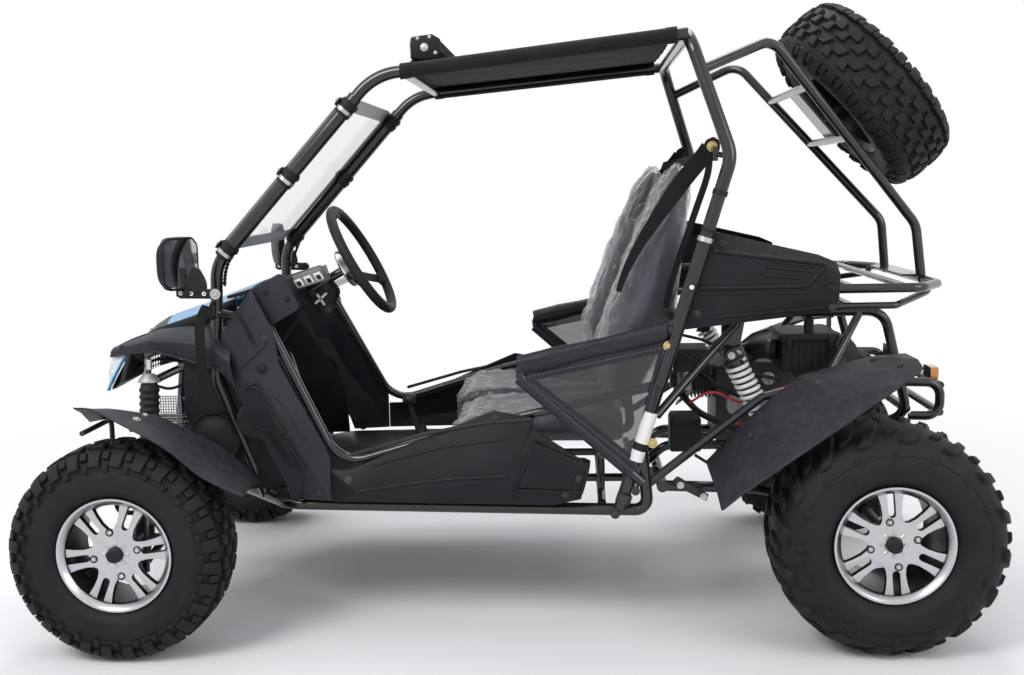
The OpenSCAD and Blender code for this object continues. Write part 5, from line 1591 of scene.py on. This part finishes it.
place(buildGuardTubes(), "sideGuards", "chassis", "frame_black", ["side_guards"])
guardPad = mapped("guardPad", 24, 60, padShape)
applyModifier(guardPad, "REMESH", mode="VOXEL", voxel_size=0.0034, use_smooth_shade=True)
crumple(guardPad, 60, 1.5, 4.4)
paint(guardPad, mat["padVinyl"])
infill = surfaced("guardInfill", 40, 40, infillShape)
crumple(infill, 90, 3, 6.1)
paint(infill, mat["infill"])
hemLine = [(60, -507, 666), (392, -497, 734), (322, -499, 446), (60, -507, 662)]
hem = [ribbon("hem", [a, tuple((Vector(a) + Vector(b)) / 2), b], (0, -1, 0), 24, 1.6, 8) for a, b in zip(hemLine, hemLine[1:])]
hem.append(tube("sleeve", [(40, -503, 664), (310, -493, 425)], 14.6, sides=6))
stitches = []
for a, b in zip(hemLine, hemLine[1:]):
    a, b = Vector(a) + Vector((0, -2, 0)), Vector(b) + Vector((0, -2, 0))
    count = int((b - a).length / 9)
    for k in range(count):
        stitches.append(tube("stitch", [a.lerp(b, (k + 0.2) / count), a.lerp(b, (k + 0.75) / count)], 0.7, sides=1))
seams = paint(joined("stitches", stitches), mat["switchGrey"])
hem = joined("guardHem", [paint(piece, mat["padVinyl"]) for piece in hem] + [seams])
for turn, end in ((None, "Left"), (mirrorY, "Right")):
    pad = place(copied(guardPad, "guardPad" + end, turn), "guardPad" + end, "chassis", "seat_vinyl")
    sheet = place(copied(infill, "guardInfill" + end, turn), "guardInfill" + end, "chassis", "canvas")
    place(copied(hem, "guardHem" + end, turn), "guardHem" + end, "chassis", "webbing")
for template in (guardPad, infill, hem):
    bpy.data.objects.remove(template)
print("side guards")


# Fittings on the hoop and pillars: collars, sleeves, tape bands, stand-offs, braces and the screen's twisted cord
def onHoop(z):
    share = (z - 332) / 851
    return Vector((283 + 267 * share, -495 + 11 * share, z))


# Bands round the hoop: low and high ends, radius, finish
hoopBands = [(983, 994, 20, "zinc"), (640, 983, 17.4, "frame"), (500, 574, 17.2, "whiteTape"), (482, 500, 17.4, "grip"),
             (456, 482, 17.2, "whiteTape"), (1006, 1014, 18, "grip"), (1092, 1104, 18.4, "grip"), (352, 372, 19, "steel")]
cordSteps, cordTwist, cordRadius, cordLean = 60, 0.62, 2.4, Vector((-9, -14, 0))


def buildHoopFittings():
    parts = []
    for low, high, radius, tone in hoopBands:
        parts.append(paint(tube("sleeve", [onHoop(low), onHoop(high)], radius, sides=8), mat[tone]))
    off = onHoop(878)
    parts.append(paint(tube("standOff", [off, off + Vector((0, -26, 0))], 9, sides=5), mat["panel"]))
    cap = turned("cap", [(0.1, 4), (4, 4), (6, 2), (6, 0), (0.1, 0)], 24)
    cap.data.transform(Matrix.Translation((off + Vector((0, -26, 0))) * unit) @ Matrix.Rotation(pi, 4, "Z"))
    parts.append(paint(cap, mat["whiteTape"]))
    parts.append(paint(tube("brace", [(374, -478, 563), (587, -330, 772)], 10.5, sides=5), mat["frame"]))
    parts.append(paint(boltHead("bolt", (271, -494, 322), (0, -1, 0), 8, 6, 12), mat["steel"]))
    cord = []
    a, b = Vector((-666, -352, 997)), Vector((-716, -350, 884))
    for start in (0, pi):
        path = []
        for k in range(cordSteps + 1):
            turn = start + k * cordTwist
            around = Vector((1, 0, 0)) * cos(turn) + Vector((0, 1, 0)) * sin(turn)
            path.append(a.lerp(b, k / cordSteps) + around * cordRadius + cordLean * sin(pi * k / cordSteps))
        cord.append(paint(tube("cord", path, 2.6, sides=2), mat["webbing"]))
    return bothSides(joined("hoopFittings", parts + cord))


place(buildHoopFittings(), "hoopFittings", "chassis", "frame_black", smooth=40)
print("hoop fittings")


# Engine bay: rounded castings, hoses, clamps, wires, the airbox lid and the silencer
def buildEngine():
    block = paint(fromNode("engine_block", "engineBlock", 4, 3, 25), mat["engine"])
    parts = [block]
    for x, z, r in ((620, 520, 34), (720, 500, 46), (700, 590, 18)):
        cover = turned("cover", [(0.1, 9), (r * 0.3, 9), (r * 0.4, 6), (r * 0.86, 6), (r, 3), (r, 0), (0.1, 0)], 36)
        cover.data.transform(Matrix.Translation(Vector((x, -110, z)) * unit) @ Matrix.Rotation(pi, 4, "Z"))
        parts.append(paint(cover, mat["cast"]))
        for k in range(6):
            spot = (x + r * 0.72 * cos(pi * k / 3), -116, z + r * 0.72 * sin(pi * k / 3))
            parts.append(paint(boltHead("bolt", spot, (0, -1, 0), 3.2, 3, 4.6), mat["zinc"]))
    for x in (590, 640, 690, 740):
        parts.append(paint(boltHead("bolt", (x, -60, 638 if x < 700 else 630), (0, 0, 1), 6, 5, 9), mat["brass"]))
    return joined("engineBlock", parts)


def buildAirbox():
    box = paint(fromNode("airbox", "airbox", 7, 4, 25), mat["panel"])
    parts = [box]
    lid = bevelled(block("lid", (697, -322, 718), (843, -132, 738)), 5, 3)
    parts.append(paint(lid, mat["grip"]))
    for k in range(7):
        rib = bevelled(block("rib", (708 + 18 * k, -321.5, 652), (713 + 18 * k, -316, 712)), 1, 1)
        parts.append(paint(rib, mat["grip"]))
    for x in (718, 822):
        clip = bevelled(block("clip", (x - 6, -326, 700), (x + 6, -321, 730)), 1.4, 2)
        parts.append(paint(clip, mat["grip"]))
    snorkel = tube("snorkel", [(700, -250, 690), (650, -230, 690), (612, -170, 650)], 26, 40, sides=6)
    rings = []
    for at in ((682, -243, 690), (640, -214, 679)):
        ends = [Vector(at) + Vector((-5, 2, 0)), Vector(at) + Vector((5, -2, 0))]
        rings.append(paint(tube("clamp", ends, 28, sides=7), mat["steel"]))
    return joined("airbox", [*parts, paint(snorkel, mat["grip"]), *rings])


def buildExhaust():
    drum = paint(fromNode("exhaust", "exhaust", 3, 3, 40), mat["silencer"])
    parts = [drum]
    for y in (-40, 60, 208):
        band = turned("band", [(55.2, -7), (57, -7), (57, 7), (55.2, 7)], 48)
        band.data.transform(Matrix.Translation(Vector((900, y, 640)) * unit))
        parts.append(paint(band, mat["steel"]))
    pipe = tube("pipe", [(800, 20, 520), (860, -20, 480), (900, -90, 560), (900, -64, 640)], 19, 60, sides=6)
    tip = tube("tip", [(945, 190, 620), (1010, 190, 610), (1040, 190, 590)], 17, 20, sides=6)
    return joined("exhaust", [*parts, paint(pipe, mat["silencer"]), paint(tip, mat["silencer"])])


# Hoses and wires: finish, radius, points
hoses = [("grip", 9, [(452, -100, 560), (500, -230, 520), (590, -260, 480), (640, -160, 470)]),
         ("grip", 7, [(470, -200, 640), (540, -260, 600), (620, -240, 560), (690, -180, 540)]),
         ("grip", 5, [(430, -300, 700), (500, -310, 660), (600, -300, 640), (700, -310, 620)]),
         ("redWire", 3.2, [(470, -300, 560), (520, -330, 600), (600, -320, 560), (680, -300, 590), (740, -260, 600)]),
         ("redWire", 2.6, [(500, -310, 470), (560, -330, 520), (620, -320, 500)]),
         ("grip", 4, [(480, -330, 430), (560, -340, 380), (650, -330, 390), (720, -330, 470)]),
         ("grip", 4, [(600, -120, 640), (560, -200, 690), (500, -260, 720), (450, -330, 740)]),
         ("webbing", 6, [(820, -120, 560), (880, -200, 500), (930, -260, 520), (990, -240, 590)]),
         ("grip", 5, [(840, -200, 600), (900, -290, 580), (960, -280, 600), (1030, -200, 600)])]


def buildHoses():
    parts = [paint(tube("hose", roundedPath(points, 50, 10), radius, sides=4), mat[tone]) for tone, radius, points in hoses]
    case = bevelled(block("case", (420, -300, 430), (500, -220, 520)), 6, 3)
    lid = bevelled(block("lid", (424, -304, 500), (496, -216, 524)), 3, 2)
    tray = bevelled(block("tray", (430, -300, 640), (520, -180, 700)), 6, 3)
    arm = bevelled(plate("arm", [(420, 372), (433, 384), (512, 336), (506, 318), (440, 352)], -372, -364), 3, 2)
    plateBack = bevelled(plate("bracket", [(540, 700), (600, 712), (630, 640), (600, 600), (560, 640)], -322, -316), 3, 2)
    for piece in (case, lid, tray):
        parts.append(paint(piece, mat["panel"]))
    parts += [paint(arm, mat["steel"]), paint(plateBack, mat["frame"])]
    for spot in ((440, -376, 362), (498, -376, 332), (590, -324, 690), (606, -324, 624)):
        parts.append(paint(boltHead("bolt", spot, (0, -1, 0), 6, 5, 9), mat["zinc"]))
    coilTank = turned("canister", [(0.1, 0), (17, 0), (19, 3), (19, 88), (15, 96), (8, 98), (8, 108), (0.1, 108)], 32)
    coilTank.data.transform(Matrix.Translation(Vector((472, -150, 560)) * unit) @ Matrix.Rotation(radians(60), 4, "X"))
    parts.append(paint(coilTank, mat["cast"]))
    return joined("engineHoses", parts)


place(buildEngine(), "engineBlock", "chassis", "engine_metal", ["engine_block"], 35)
place(buildAirbox(), "airbox", "chassis", "plastic_black", ["airbox"], 35)
place(buildExhaust(), "exhaust", "chassis", "silencer", ["exhaust"], 40)
place(buildHoses(), "engineHoses", "chassis", "grip_black", smooth=40)
print("engine bay")


# Floor, pedals and shifter
def buildFloor():
    pan = paint(fromNode("floor_pan", "floorPan", 0.8, 2, 40), mat["panel"])
    top = max(v.co.z for v in pan.data.vertices) / unit
    parts = [pan]
    for y in range(-140, 141, 28):
        rib = tube("rib", [(-750, y, top), (-90, y, top)], 3.2, sides=3)
        parts.append(paint(rib, mat["panel"]))
    return joined("floorPan", parts)


def buildControls():
    whole = paint(fromNode("controls", "controls", 2, 3, 30), mat["steel"])
    parts = [whole]
    for y in (-248, -150):
        for k in range(5):
            up = 446 + 10 * k
            parts.append(paint(tube("tread", [(-661.5, y - 26, up), (-661.5, y + 26, up)], 2, sides=3), mat["grip"]))
    folds = []
    for k in range(6):
        folds += [(34 - 4.4 * k, 8 * k), (29 - 4.4 * k, 8 * k + 5)]
    gaiter = turned("gaiter", [(0.1, 0), *folds, (8, 50), (0.1, 50)], 32)
    gaiter.data.transform(Matrix.Translation(Vector((-268, 0, 398)) * unit) @ Matrix.Rotation(radians(76), 4, "X"))
    parts.append(paint(gaiter, mat["grip"]))
    return joined("controls", parts)


place(buildFloor(), "floorPan", "chassis", "plastic_black", ["floor_pan"], 35)
place(buildControls(), "controls", "chassis", "grip_black", ["controls"], 35)
print("floor and controls")


rest()
